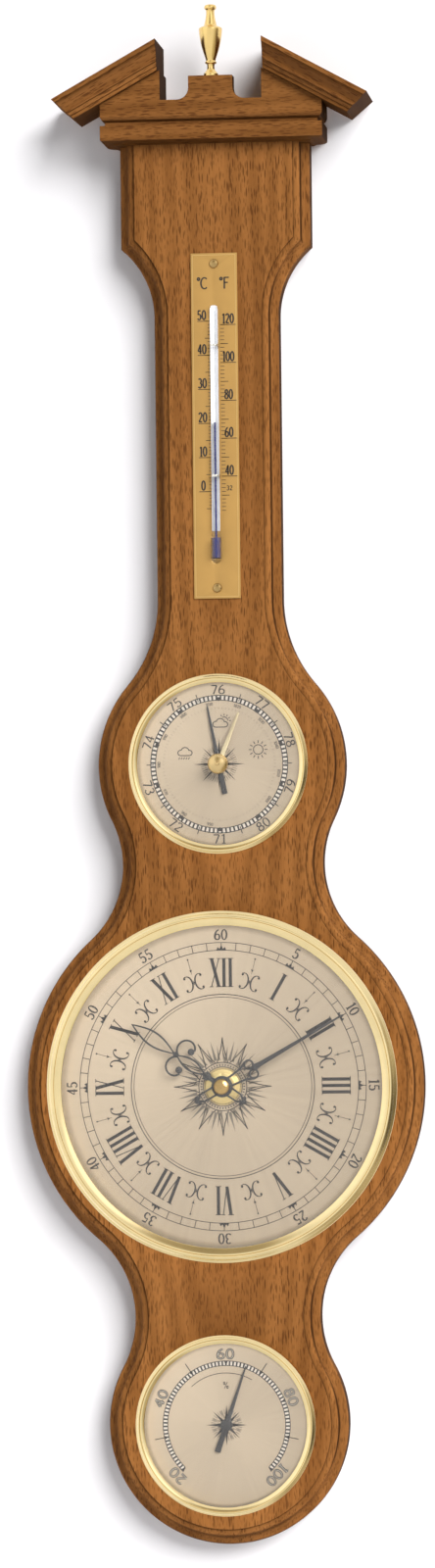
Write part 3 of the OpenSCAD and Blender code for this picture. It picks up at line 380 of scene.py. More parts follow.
@cache
def wood(name, turn_y=0.0, shift=(0, 0, 0), shade=1.0, right_shade_from=0.5):
    """Stained wood whose grain lies where turn_y puts it, with painted shade on faces turned to the right,
    on faces turned down and in the hollows its mesh marks
    """
    material, tree, shader = new_material(name)
    values = settings("wood")
    recess = from_node(tree, "ShaderNodeAttribute", {}, "Fac", attribute_name="recess")
    # Painted shade: faces turned to the right darken past a threshold, faces turned down darken too, and the
    # mesh's shade attribute adds painted shade in its hollows
    facing_x, _, facing_z = axes(from_node(tree, "ShaderNodeNewGeometry", {}, "Normal"))
    ends = ramp(facing_x, right_shade_from, right_shade_from + 0.2)
    under = ramp(facing_z, -0.9, -0.5, 0.65, 0.0)
    use_group(
        wood_group(), shader, 0.5,
        Vector=place_node(tree, shift, (0, math.radians(turn_y), 0)),
        Light=[c * shade for c in values.light],
        Dark=[c * shade for c in values.dark],
        Pores=values.pores,
        Recess=recess.maths("MAXIMUM", ends.maths("MAXIMUM", under)),
    )
    feed_all(shader, {"Specular IOR Level": 0.0, "Coat Weight": values.gloss, "Coat Roughness": 0.3})
    return material


@cache
def metal(name, colour, roughness, spread=0.08, bump=0.05, metallic=1.0):
    """Bare metal with faint handling marks"""
    material, tree, shader = new_material(name)
    use_group(wear_group(), shader, bump, Vector=place_node(tree), Color=colour, Roughness=roughness,
              Spread=spread)
    feed(shader.inputs["Metallic"], metallic)
    return material


@cache
def coated(name, colour, roughness, coat=0.0, bump=0.1, spread=0.1):
    """Paint, plastic, rubber and the like"""
    material, tree, shader = new_material(name)
    use_group(wear_group(), shader, bump, Vector=place_node(tree), Color=colour, Roughness=roughness,
              Spread=spread)
    feed(shader.inputs["Coat Weight"], coat)
    return material


@cache
def dial_face(name, height, rim):
    """The brushed face of a dial whose centre is at a height, in shade along its rim"""
    material, tree, shader = new_material(name)
    use_group(brushed_group(), shader, 0.12, Vector=place_node(tree, (0, 0, -height * MM)),
              Color=settings("dials").face, Rim=rim * MM)
    feed(shader.inputs["Metallic"], 0.3)
    return material


@cache
def felt_material():
    """Short matted fibre"""
    material, tree, shader = new_material("felt")
    fluff = noise(place_node(tree), 2600.0, 3.0, 0.8)
    feed_all(shader, {
        "Base Color": blend_colour(tree, fluff, (0.03, 0.015, 0.008), (0.12, 0.06, 0.03)),
        "Roughness": 0.95, "Sheen Weight": 0.4,
    })
    relief(shader, fluff, 0.8, 0.0003)
    return material


@cache
def glass_material(name="clear_glass"):
    """Clear glass that lets the lamps through to what lies behind it"""
    material, tree, shader = new_material(name)
    feed_all(shader, {
        "Base Color": (0.985, 0.99, 0.99), "Roughness": 0.015, "IOR": 1.36, "Transmission Weight": 1.0,
    })
    path = tree.nodes.new("ShaderNodeLightPath").outputs
    see_through(tree, shader, Signal(path["Is Shadow Ray"]).maths("MAXIMUM", Signal(path["Is Diffuse Ray"])))
    return material


def polished_brass():
    """Brass of the bezels"""
    return metal("polished_brass", tuple(settings("metal").polished), 0.13, 0.08, 0.008)


def scale_brass():
    """Matt gilt sheet"""
    return metal("scale_plate", tuple(settings("metal").plate), 0.5, 0.1, 0.08, metallic=0.55)


def cast_brass():
    """Plain brass of the works"""
    return metal("satin_brass", (0.55, 0.37, 0.15), 0.34, 0.12, 0.1)


def plated_steel():
    """Bright steel of the cases and fittings"""
    return metal("plated_steel", (0.56, 0.56, 0.57), 0.27, 0.12, 0.08)


def ink_material():
    """Ink of the main print"""
    return coated("dial_ink", tuple(settings("dials").ink), 0.5, bump=0.02)


def pale_paint():
    """Paint under the small dials' scales and inside their outlined figures"""
    return coated("pale_paint", (0.66, 0.6, 0.51), 0.5, bump=0.02)


def grey_ink():
    """Ink of the finest print"""
    return coated("pale_ink", (0.15, 0.125, 0.095), 0.5, bump=0.02)


def hand_paint():
    """Black paint of the hands and pointers"""
    return coated("hand_paint", tuple(settings("metal").hands), 0.34, coat=0.2, bump=0.05)


# Mesh helpers

def mesh_object(name, vertices, faces, angle=32.0):
    """A piece from vertices in millimetres, smooth but for edges sharper than an angle"""
    mesh = bpy.data.meshes.new(name)
    mesh.from_pydata([Vector(v) * MM for v in vertices], [], faces)
    mesh.validate()
    mesh.polygons.foreach_set("use_smooth", [True] * len(mesh.polygons))
    mesh.set_sharp_from_angle(angle=math.radians(angle))
    piece = bpy.data.objects.new(name, mesh)
    bpy.context.scene.collection.objects.link(piece)
    return piece


def finish_piece(piece, material, body, slot, *replaced):
    """Give a piece its material and its body, and hide the solids it stands for; the slot is not used"""
    piece.data.materials.clear()
    piece.data.materials.append(material)
    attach(piece, body)
    if replaced:
        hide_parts(*replaced)


def dress(node, material):
    """Give a solid that stays as it is a material"""
    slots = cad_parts[node].data.materials
    for k in range(len(slots)):
        slots[k] = material


def curve_through(points, steps):
    """Points on a smooth line through the given ones"""
    ends = [points[0], *points, points[-1]]
    line = []
    for k in range(1, len(ends) - 2):
        p0, p1, p2, p3 = (Vector(p) for p in ends[k - 1:k + 3])
        for i in range(steps):
            t = i / steps
            line.append(0.5 * ((2 * p1) + (p2 - p0) * t + (2 * p0 - 5 * p1 + 4 * p2 - p3) * t * t
                               + (3 * p1 - p0 - 3 * p2 + p3) * t ** 3))
    line.append(Vector(points[-1]))
    return line


def on_circle(radius, degrees, x=0.0, y=0.0):
    """A point on a circle, at an angle counted from the right"""
    a = math.radians(degrees)
    return (x + radius * math.cos(a), y + radius * math.sin(a))


def lathe(name, profile, place, steps, angle=32.0):
    """A turned piece. The profile is (radius, height) from its start to its end; place maps
    (across, along, height) to the frame. A profile that starts and ends off the axis is a ring."""
    ring = profile[0][0] > 1e-6 and profile[-1][0] > 1e-6
    vertices, rows = [], []
    for r, h in profile:
        if r < 1e-6:
            rows.append([len(vertices)])
            vertices.append(place(0, 0, h))
        else:
            rows.append([len(vertices) + k for k in range(steps)])
            vertices += [place(*on_circle(r, 360 * k / steps), h) for k in range(steps)]
    faces = []
    pairs = list(zip(rows, rows[1:]))
    if ring:
        pairs.append((rows[-1], rows[0]))
    for low, high in pairs:
        for k in range(steps):
            j = (k + 1) % steps
            face = [low[k % len(low)], low[j % len(low)], high[j % len(high)], high[k % len(high)]]
            unique = list(dict.fromkeys(face))
            if len(unique) > 2:
                faces.append(unique)
    piece = mesh_object(name, vertices, faces, angle)
    face_outward(piece)
    piece.data.set_sharp_from_angle(angle=math.radians(angle))
    return piece


def face_outward(piece):
    """Merge doubles and turn every face outward on a closed piece"""
    work = bmesh.new()
    work.from_mesh(piece.data)
    bmesh.ops.remove_doubles(work, verts=work.verts, dist=1e-7)
    bmesh.ops.recalc_face_normals(work, faces=work.faces)
    work.to_mesh(piece.data)
    work.free()


def on_board(height):
    """Places a turned piece on the board: its axis points out of the board at a height"""
    return lambda x, y, h: (x, BOARD_FRONT - h, height + y)


def upright(y, z):
    """Places a turned piece that stands up at a depth and a height"""
    return lambda a, b, h: (a, y + b, z + h)


def soften(name, node, width, material, body, slot, angle=30.0, crisp=30.0):
    """Finish a merged copy of a solid, with edges sharper than an angle eased by a width. It is
    smooth but for edges sharper than crisp."""
    piece = bpy.data.objects.new(name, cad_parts[node].data.copy())
    piece.data.name = name
    bpy.context.scene.collection.objects.link(piece)
    work = bmesh.new()
    work.from_mesh(piece.data)
    bmesh.ops.remove_doubles(work, verts=work.verts, dist=1e-6)
    bmesh.ops.dissolve_limit(work, angle_limit=math.radians(0.5), verts=work.verts, edges=work.edges)
    work.to_mesh(piece.data)
    work.free()
    piece.data.polygons.foreach_set("use_smooth", [True] * len(piece.data.polygons))
    if width > 0:
        ease = piece.modifiers.new("ease", "BEVEL")
        ease.width = width * MM
        ease.segments = 2
        ease.limit_method = "ANGLE"
        ease.angle_limit = math.radians(angle)
        ease.use_clamp_overlap = True
        ease.miter_outer = "MITER_ARC"
        settle(piece)
    piece.data.set_sharp_from_angle(angle=math.radians(crisp))
    finish_piece(piece, material, body, slot, node)


def settle(piece):
    """Turn a piece's modifiers into plain mesh"""
    depsgraph = bpy.context.evaluated_depsgraph_get()
    depsgraph.update()
    mesh = bpy.data.meshes.new_from_object(piece.evaluated_get(depsgraph))
    piece.modifiers.clear()
    old = piece.data
    piece.data = mesh
    bpy.data.meshes.remove(old)
    mesh.name = piece.name


# Repeats

@cache
def repeat_tree(kind):
    """Geometry nodes that repeat a small piece round a centre or along a line"""
    label = "Repeat round a centre" if kind == "round" else "Repeat along a line"
    tree = bpy.data.node_groups.new(label, "GeometryNodeTree")
    sockets = {
        "Geometry": "NodeSocketGeometry", "Piece": "NodeSocketObject", "Count": "NodeSocketInt",
        "Centre": VECTOR, "Radius": FLOAT, "First": FLOAT, "Step": FLOAT, "Material": "NodeSocketMaterial",
    }
    for name, socket in sockets.items():
        tree.interface.new_socket(name, in_out="INPUT", socket_type=socket)
    tree.interface.new_socket("Geometry", in_out="OUTPUT", socket_type="NodeSocketGeometry")
    source = group_inputs(tree)
    radius = source["Radius"]
    travel = from_node(tree, "GeometryNodeInputIndex", {}) * source["Step"] + source["First"]
    if kind == "round":
        offset = vector_of(travel.maths("SINE") * radius, 0, travel.maths("COSINE") * radius)
    else:
        offset = vector_of(radius, 0, travel)
    place = from_node(tree, "ShaderNodeVectorMath", {0: source["Centre"], 1: offset}, operation="ADD")
    points = from_node(tree, "GeometryNodePoints", {"Count": source["Count"], "Position": place})
    part = from_node(tree, "GeometryNodeObjectInfo", {"Object": source["Piece"]}, "Geometry")
    spread = add_node(tree, "GeometryNodeInstanceOnPoints", {"Points": points, "Instance": part})
    if kind == "round":
        turn = from_node(tree, "FunctionNodeEulerToRotation", {0: vector_of(0, travel, 0)})
        feed(spread.inputs["Rotation"], turn)
    real = from_node(tree, "GeometryNodeRealizeInstances", {0: Signal(spread.outputs[0])})
    dressed = from_node(tree, "GeometryNodeSetMaterial", {"Geometry": real, "Material": source["Material"]})
    add_node(tree, "NodeGroupOutput", {0: dressed})
    return tree


def repeat(name, kind, part, material, slot, *replaced, centre, count, radius, first, step):
    """Repeat a part on the station: round a centre by degrees, or up a line by millimetres"""
    tree = repeat_tree(kind)
    holder = bpy.data.objects.new(name, bpy.data.meshes.new(name))
    bpy.context.scene.collection.objects.link(holder)
    modifier = holder.modifiers.new("repeat", "NODES")
    modifier.node_group = tree
    unit = math.radians(1) if kind == "round" else MM
    values = {
        "Piece": part, "Count": count, "Centre": [c * MM for c in centre], "Radius": radius * MM,
        "First": first * unit, "Step": step * unit, "Material": material,
    }
    for item in tree.interface.items_tree:
        if item.in_out == "INPUT" and item.name in values:
            modifier[item.identifier] = values[item.name]
    settle(holder)
    used = part.data
    bpy.data.objects.remove(part)
    bpy.data.meshes.remove(used)
    finish_piece(holder, material, "station", slot, *replaced)


# Print

class Print:
    """Flat printed shapes in a dial's plane, x to the right and y up, in millimetres"""

    def __init__(self):
        self.faces = []

    def shape(self, points):
        """A filled outline"""
        self.faces.append([(float(x), float(y)) for x, y in points])

    def band(self, line, width):
        """A line of even or changing width"""
        widths = width if isinstance(width, (list, tuple)) else [width] * len(line)
        sides = []
        for k, (x, y) in enumerate(line):
            before, after = line[max(k - 1, 0)], line[min(k + 1, len(line) - 1)]
            dx, dy = after[0] - before[0], after[1] - before[1]
            size = math.hypot(dx, dy) or 1.0
            nx, ny = -dy / size * widths[k] / 2, dx / size * widths[k] / 2
            sides.append(((x + nx, y + ny), (x - nx, y - ny)))
        for (a, b), (c, d) in zip(sides, sides[1:]):
            self.shape([a, b, d, c])

    def bow(self, cx, cy, rx, ry, start, end, thick, thin=None, steps=20):
        """Part of an ellipse, thick at its sides and thin above and below"""
        thin = thick if thin is None else thin
        line, widths = [], []
        for k in range(steps + 1):
            a = math.radians(start + (end - start) * k / steps)
            line.append((cx + rx * math.cos(a), cy + ry * math.sin(a)))
            widths.append(thin + (thick - thin) * abs(math.cos(a)))
        self.band(line, widths)

    def circle(self, radius, width):
        self.bow(0, 0, radius, radius, 0, 360, width, steps=180)

    def dot(self, x, y, radius):
        self.shape([on_circle(radius, degrees, x, y) for degrees in range(0, 360, 30)])

    def bar(self, x, y, wide, high):
        """A rectangle whose middle is at a point"""
        self.shape([(x - wide / 2, y - high / 2), (x + wide / 2, y - high / 2),
                    (x + wide / 2, y + high / 2), (x - wide / 2, y + high / 2)])

    def join(self, other, turn=0.0, shift=(0.0, 0.0), scale=1.0):
        """Take over another print, scaled, turned clockwise and moved"""
        c, s = math.cos(math.radians(turn)), math.sin(math.radians(turn))
        for face in other.faces:
            self.shape([(shift[0] + scale * (x * c + y * s), shift[1] + scale * (y * c - x * s))
                        for x, y in face])

    def ring_of(self, other, turn, radius, flipped=False):
        """Take over another print at a clockwise angle and a radius"""
        a = math.radians(turn)
        self.join(other, turn + (180 if flipped else 0), (radius * math.sin(a), radius * math.cos(a)))

    def piece(self, name, height=None, level=0.0):
        """The print as a mesh. Without a height it stays at the origin, as a part to repeat."""
        work = bmesh.new()
        y = 0.0 if height is None else (BOARD_FRONT - level) * MM
        base = 0.0 if height is None else height
        for face in self.faces:
            corners = [work.verts.new((x * MM, y, (base + z) * MM)) for x, z in face]
            made = work.faces.new(corners)
            made.normal_update()
            if made.normal.y > 0:
                made.normal_flip()
        mesh = bpy.data.meshes.new(name)
        work.to_mesh(mesh)
        work.free()
        piece = bpy.data.objects.new(name, mesh)
        bpy.context.scene.collection.objects.link(piece)
        return piece


# Figures on a unit height: bows (centre, radii, start, end) and strokes (from, to, weight); a weight
# of None takes the thickness from the direction
FIGURES = {
    "0": [("bow", 0.3, 0.5, 0.24, 0.47, 0, 360)],
    "1": [("line", 0.3, 0, 0.3, 1, None), ("line", 0.3, 0.98, 0.12, 0.82, 0.3),
          ("line", 0.14, 0.02, 0.46, 0.02, 0)],
    "2": [("bow", 0.29, 0.73, 0.21, 0.24, 165, -28), ("line", 0.475, 0.62, 0.08, 0.06, 0.4),
          ("line", 0.05, 0.05, 0.55, 0.05, 0.6)],
    "3": [("bow", 0.27, 0.75, 0.2, 0.22, 150, -90), ("bow", 0.27, 0.28, 0.24, 0.25, 90, -150)],
    "4": [("line", 0.41, 0, 0.41, 1, None), ("line", 0.41, 0.97, 0.05, 0.3, 0.2),
          ("line", 0.03, 0.29, 0.58, 0.29, 0)],
    "5": [("line", 0.12, 0.95, 0.5, 0.95, 0.6), ("line", 0.13, 0.96, 0.11, 0.53, 0.1),
          ("bow", 0.27, 0.31, 0.24, 0.28, 130, -150)],
    "6": [("bow", 0.3, 0.29, 0.23, 0.26, 0, 360), ("bow", 0.5, 0.3, 0.43, 0.67, 180, 95)],
    "7": [("line", 0.05, 0.94, 0.55, 0.94, 0.6), ("line", 0.54, 0.93, 0.24, 0, None)],
    "8": [("bow", 0.3, 0.75, 0.18, 0.21, 0, 360), ("bow", 0.3, 0.27, 0.23, 0.24, 0, 360)],
    "9": [("bow", 0.3, 0.71, 0.23, 0.26, 0, 360), ("bow", 0.1, 0.7, 0.43, 0.67, 0, -85)],
    "%": [("bow", 0.12, 0.78, 0.11, 0.18, 0, 360), ("bow", 0.58, 0.22, 0.11, 0.18, 0, 360),
          ("line", 0.58, 1, 0.12, 0, 0.2)],
    "C": [("bow", 0.36, 0.5, 0.3, 0.47, 48, 312)],
    "F": [("line", 0.14, 0, 0.14, 1, None), ("line", 0.14, 0.96, 0.54, 0.96, 0),
          ("line", 0.14, 0.53, 0.44, 0.53, 0)],
    "o": [("bow", 0.1, 0.86, 0.09, 0.11, 0, 360)],
}
ADVANCE = {"1": 0.56, "o": 0.24, "%": 0.78, "C": 0.72, "F": 0.62}


def figures(text, height, thick, thin, wide=1.0):
    """A line of figures centred on the origin. Thick and thin are shares of the height."""
    widths = [ADVANCE.get(c, 0.68) * wide for c in text]
    x = -sum(widths) / 2
    line = Print()
    for c, width in zip(text, widths):
        for stroke in FIGURES[c]:
            if stroke[0] == "bow":
                _, cx, cy, rx, ry, start, end = stroke
                line.bow(x + cx * wide, cy - 0.5, rx * wide, ry, start, end, thick, thin, 22)
            else:
                _, x0, y0, x1, y1, weight = stroke
                if weight is None:
                    weight = abs(y1 - y0) / math.hypot(x1 - x0, y1 - y0)
                line.band([(x + x0 * wide, y0 - 0.5), (x + x1 * wide, y1 - 0.5)],
                          thin + (thick - thin) * weight)
        x += width
    scaled = Print()
    scaled.join(line, scale=height)
    return scaled


def roman(text, height):
    """A Roman numeral with hairlines and bracketed feet, centred on the origin"""
    thick, thin, foot, serif = 1.5, 0.45, 0.36, 0.62
    widths = {"I": 3.0, "V": 5.3, "X": 5.3}
    x = -sum(widths[c] for c in text) / 2
    top, low = height / 2, -height / 2
    line = Print()
    for c in text:
        middle = x + widths[c] / 2
        if c == "I":
            strokes = [(middle, middle, thick)]
        elif c == "V":
            strokes = [(middle - 1.75, middle + 0.1, thick), (middle + 1.85, middle + 0.15, thin)]
        else:
            strokes = [(middle - 1.7, middle + 1.7, thick), (middle + 1.75, middle - 1.75, thin)]
        for x_top, x_low, width in strokes:
            line.band([(x_top, top), (x_low, low)], width)
            for at, y in ((x_top, top), (x_low, low)):
                if c == "V" and y == low:
                    continue
                line.bar(at, y, width + 2 * serif, foot)
        x += widths[c]
    return line


def tapering(r0, r1, half, bend=1.5, steps=10):
    """Edge points of a pointed ray from radius r0 to r1, right side from foot to tip"""
    return [(half * (1 - k / steps) ** bend, r0 + (r1 - r0) * k / steps) for k in range(steps + 1)]


def open_ray(r0, r1, half, line_width):
    """A hollow ray with one side hatched"""
    ray = Print()
    side = tapering(r0, r1, half)
    ray.band(side, line_width)
    ray.band([(-x, y) for x, y in side], line_width)
    for share in (0.25, 0.5, 0.75):
        reach = 1 - share * 0.55
        inner = [(x * share, r0 + (y - r0) * reach) for x, y in side[:-2]]
        ray.band(inner, line_width * 0.5)
    return ray


def solid_ray(r0, r1, half):
    """A filled ray"""
    ray = Print()
    side = tapering(r0, r1, half, 1.0, 4)
    ray.shape([*side, *[(-x, y) for x, y in reversed(side[:-1])]])
    return ray


def tick(length, width):
    """A short line whose middle is at the origin, along the radius"""
    mark = Print()
    mark.bar(0, 0, width, length)
    return mark


def cloud_outline(width, thickness):
    """A plain cloud of three bows on a flat foot"""
    k = width / 10
    cloud = Print()
    cloud.bow(-2.6 * k, 0.2 * k, 1.9 * k, 1.8 * k, 75, 270, thickness, steps=12)
    cloud.bow(0.2 * k, 1.2 * k, 2.6 * k, 2.5 * k, 20, 165, thickness, steps=14)
    cloud.bow(3.0 * k, 0.1 * k, 1.8 * k, 1.7 * k, -90, 110, thickness, steps=12)
    cloud.band([(-2.6 * k, -1.6 * k), (3.0 * k, -1.6 * k)], thickness)
    return cloud


def sun_outline(radius, reach, thickness, last=360):
    """A plain round sun, whole or up to an angle"""
    sun = Print()
    sun.bow(0, 0, radius, radius, 0, last, thickness, steps=28)
    for degrees in range(0, min(last, 330) + 1, 30):
        sun.band([on_circle(radius * 1.35, degrees), on_circle(reach, degrees)], thickness)
    return sun


# Dials

# Heights of the dials over the board, and of a layer of print over a dial
CLOCK_DIAL = 1.5
SMALL_DIAL = 1.4
INK_LIFT = 0.03

# Outer and inner radius, radius of the seat and height of a bezel
SMALL_BEZEL = (42.3, 38.2, 39.4, 8.2)
CLOCK_BEZEL = (82.5, 75.5, 77.0, 10.0)


class Dial:
    """A dial on the board at a height, printed in layers over its face"""

    def __init__(self, name, height, top, bezel):
        dress(f"{name}_dial", dial_face(f"{name}_face", height, bezel[1]))
        self.height = height
        self.top = top

    def around(self, name, mark, count, radius, first=0, step=None, material=None):
        """Print a mark round the centre, by angles in degrees; without a step it goes all round"""
        repeat(name, "round", mark.piece(name + "_part"), material or ink_material(), "dial",
               centre=(0, BOARD_FRONT - self.top - INK_LIFT, self.height),
               count=count, radius=radius, first=first, step=step or 360 / count)

    def lay(self, name, drawn, material=None, layer=1):
        """Lay a print on the face"""
        piece = drawn.piece(name, self.height, self.top + layer * INK_LIFT)
        finish_piece(piece, material or ink_material(), "station", "dial")


# The board

BOARD_T = 20.0
MOULD_W = 7.4
MOULD_D = 9.0
TOP_HALF = 45.0
NECK_HALF = 29.5
BARO_LOBE = 58.4
CLOCK_LOBE = 93.8
HYGRO_LOBE = 56.4
SHOULDER_R = 43.0
NECK_R = 61.6
UPPER_WAIST_R = 47.0
LOWER_WAIST_R = 48.5
NECK_TOP_Z = -54.4
SMALL_BORE_R = 36.6
CLOCK_BORE_R = 44.0
NAIL_POCKET_R = 8.0
NAIL_POCKET_D = 9.0
FINE_STEP = 2.0


def hollow_between(low, high, r):
    """Centre of a hollow that touches two lobes (height, radius) on the right"""
    gap, to_low, to_high = high[0] - low[0], low[1] + r, high[1] + r
    rise = (gap * gap + to_low * to_low - to_high * to_high) / (2 * gap)
    return (math.sqrt(to_low * to_low - rise * rise), low[0] + rise)


def bearing(a, b):
    """Angle in degrees at which one point sees another"""
    return math.degrees(math.atan2(b[1] - a[1], b[0] - a[0])) % 360


def arc_points(centre, r, start, end, n):
    """Points in even steps along an arc"""
    return [on_circle(r, start + (end - start) * k / n, *centre) for k in range(n + 1)]


def board_outline(inset):
    """The board's outline cut back by an inset, clockwise from the top right corner"""
    neck_x = NECK_HALF + NECK_R
    neck_foot = BARO_Z + math.sqrt((BARO_LOBE + NECK_R) ** 2 - neck_x ** 2)
    upper = hollow_between((CLOCK_Z, CLOCK_LOBE), (BARO_Z, BARO_LOBE), UPPER_WAIST_R)
    lower = hollow_between((HYGRO_Z, HYGRO_LOBE), (CLOCK_Z, CLOCK_LOBE), LOWER_WAIST_R)
    chain = [
        ((neck_x, neck_foot), NECK_R, -1), ((0, BARO_Z), BARO_LOBE, 1), (upper, UPPER_WAIST_R, -1),
        ((0, CLOCK_Z), CLOCK_LOBE, 1), (lower, LOWER_WAIST_R, -1), ((0, HYGRO_Z), HYGRO_LOBE, 1),
    ]
    x, r = TOP_HALF - inset, SHOULDER_R + inset
    shoulder = (NECK_HALF + SHOULDER_R, NECK_TOP_Z)
    corner = math.degrees(math.acos(-(shoulder[0] - x) / r))
    right = [(x, TOP_Z), *arc_points(shoulder, r, corner, 180, 20)]
    for i, (centre, radius, kind) in enumerate(chain):
        first = 180 if i == 0 else bearing(centre, chain[i - 1][0])
        after = 270 if i == len(chain) - 1 else bearing(centre, chain[i + 1][0])
        end = after - 360 if kind > 0 else after
        # The number of steps must not change with the inset, so it comes from the angles alone
        n = math.ceil(abs(end - first) / FINE_STEP)
        right += arc_points(centre, radius - kind * inset, first, end, n)[0 if i == 0 else 1:]
    return right + [(-px, pz) for px, pz in reversed(right[:-1])]


def edge_profile():
    """The moulded edge as (inset, depth, painted shade), from the field out and back; the painted shade is
    darkest at the steps and hollows, on the side wall and at the back
    """
    bead_w, bead_d = 0.42 * MOULD_W, 0.24 * MOULD_D
    step_1, step_2 = 0.13 * MOULD_D, 0.46 * MOULD_D
    hollow_in, lip_in, hollow_d = 0.56 * MOULD_W, 0.08 * MOULD_W, 0.45 * MOULD_D
    rows = [(MOULD_W + 1.0, 0, 0.0), (MOULD_W + 0.12, 0, 0.03), (MOULD_W, 0.12, 0.06),
            (MOULD_W - 0.02, step_1 - 0.15, 0.6), (MOULD_W - 0.15, step_1, 0.6)]
    for k in range(1, 11):
        a = math.radians(9 * k)
        rows.append((MOULD_W - 0.2 - bead_w * math.sin(a), step_1 + bead_d * (1 - math.cos(a)),
                     max(0.2 * (1 - k / 5), 0.0)))
    rows.append((rows[-1][0] - 0.03, step_2 - 0.15, 0.55))
    for k in range(13):
        a = math.radians(7.5 * k)
        rows.append((hollow_in - (hollow_in - lip_in) * (1 - math.cos(a)), step_2 + hollow_d * math.sin(a),
                     0.3 * (1 - k / 12)))
    rows += [(0.15, MOULD_D - 0.1, 0.0), (0, MOULD_D + 0.1, 0.1), (0, MOULD_D + 1.5, 0.5),
             (0, BOARD_T - 0.6, 0.75), (0.5, BOARD_T, 0.75)]
    return rows


def make_board():
    """The moulded board with its bores, built finely from the same values as the solid"""
    rows = edge_profile()
    rings = [board_outline(inset) for inset, _, _ in rows]
    n = len(rings[0])
    vertices, faces, recess = [], [], []
    for (inset, depth, dark), ring_points in zip(rows, rings):
        vertices += [(x, BOARD_FRONT + depth, z) for x, z in ring_points]
        recess += [dark] * n
    for k in range(len(rows) - 1):
        for i in range(n):
            j = (i + 1) % n
            faces.append([k * n + i, k * n + j, (k + 1) * n + j, (k + 1) * n + i])

    def hole(centre_z, r, steps, depth):
        """A ring of points at a depth"""
        points = [on_circle(r, 360 * k / steps, 0, centre_z) for k in range(steps)]
        start = len(vertices)
        vertices.extend((x, depth, z) for x, z in points)
        # Painted shade: the bore walls and the back are darkened, the front is not
        recess.extend([0.0 if depth == BOARD_FRONT else 0.75] * steps)
        return list(range(start, start + steps))

    def cap(outer, holes):
        """A flat face with holes"""
        loops = [[Vector(vertices[i]) for i in loop] for loop in (outer, *holes)]
        flat = [[Vector((p.x, p.z, 0)) for p in loop] for loop in loops]
        index = [i for loop in (outer, *holes) for i in loop]
        for triangle in tessellate_polygon(flat):
            faces.append([index[i] for i in triangle])

    def bore(centre_z, r, steps, start, end):
        """A round hole from one depth to another, as its two rings"""
        fore, aft = hole(centre_z, r, steps, start), hole(centre_z, r, steps, end)
        faces.extend([fore[i], fore[(i + 1) % steps], aft[(i + 1) % steps], aft[i]] for i in range(steps))
        return fore, aft

    front, back = zip(*[
        bore(z, r, 96, BOARD_FRONT, BOARD_BACK)
        for z, r in ((BARO_Z, SMALL_BORE_R), (HYGRO_Z, SMALL_BORE_R), (CLOCK_Z, CLOCK_BORE_R))
    ])
    mouth, floor = bore(0, NAIL_POCKET_R, 48, BOARD_BACK, BOARD_BACK - NAIL_POCKET_D)
    faces.append(list(floor))
    cap(list(range(n)), front)
    cap(list(range((len(rows) - 1) * n, len(rows) * n)), [*back, mouth])
    board = mesh_object("moulded_board", vertices, faces, 28)
    # Each point's painted shade, read by the wood's material
    shade = board.data.attributes.new("recess", "FLOAT", "POINT")
    shade.data.foreach_set("value", recess)
    face_outward(board)
    board.data.set_sharp_from_angle(angle=math.radians(28))
    return board


class STATION_OT_woodwork(bpy.types.Operator):
    """Make the moulded board, the cornice, the pediment and its raking mouldings"""
    bl_idname = "station.woodwork"
    bl_label = "Woodwork"

    def execute(self, context):
        finish_piece(make_board(), wood("board_wood", right_shade_from=0.79), "station", "wood", "backboard")
        slope = 29.0
        for name, node, ease, turn, shift, shade in (
            ("cornice", "cornice_moulding", 0.25, -90, (0.31, 0.07, 0.2), 0.82),
            ("pediment", "pediment_board", 0.25, -90, (0.62, 0.2, 0.55), 0.79),
            ("left_rake", "left_rake_moulding", 0.2, slope - 90, (0.9, 0.4, 0.3), 0.83),
            ("right_rake", "right_rake_moulding", 0.2, -slope - 90, (1.3, 0.4, 0.3), 0.83),
        ):
            material = wood(f"{name}_wood", turn, shift, shade)
            soften(name, node, ease, material, "station", "wood", crisp=13)
        dress("pediment_dowels", coated("raw_wood", (0.4, 0.23, 0.1), 0.7, bump=0.3))
        return {"FINISHED"}


# Brasswork

FINIAL_H = 34.0


class STATION_OT_finial(bpy.types.Operator):
    """Turn the brass urn on the plinth"""
    bl_idname = "station.finial"
    bl_label = "Finial"

    def execute(self, context):
        foot = [(3.5, 0.0), (3.5, 0.02), (3.3, 0.036), (2.7, 0.058), (2.0, 0.085), (1.78, 0.115),
                (1.76, 0.15), (1.9, 0.166)]
        bead = [(2.4, 0.172), (2.68, 0.18), (2.72, 0.19), (2.6, 0.2), (2.35, 0.208)]
        body = [(2.3, 0.218), (2.45, 0.24), (2.75, 0.27), (3.35, 0.32), (4.25, 0.41), (4.9, 0.5),
                (5.32, 0.585), (5.5, 0.64), (5.46, 0.66), (5.15, 0.672), (4.5, 0.684)]
        neck = [(3.5, 0.694), (3.0, 0.71), (2.75, 0.74), (2.3, 0.8), (2.02, 0.86), (1.98, 0.905),
                (2.2, 0.922)]
        cap = [(2.75, 0.935), (2.85, 0.95), (2.82, 0.965), (2.5, 0.985), (1.6, 0.996), (0.6, 1.0)]
        profile = [(0.0, 0.0)]
        for part in (foot, bead, body, neck, cap):
            profile += [(r, h * FINIAL_H) for r, h in curve_through(part, 4)]
        profile.append((0.0, FINIAL_H))
        urn = lathe("brass_finial", profile, upright(FINIAL_Y, PLINTH_Z), 96, 38)
        finish_piece(urn, metal("finial_brass", (0.93, 0.67, 0.265), 0.2), "station", "polished_brass",
                     "finial")
        dress("finial_stud", plated_steel())
        return {"FINISHED"}


# Bezels

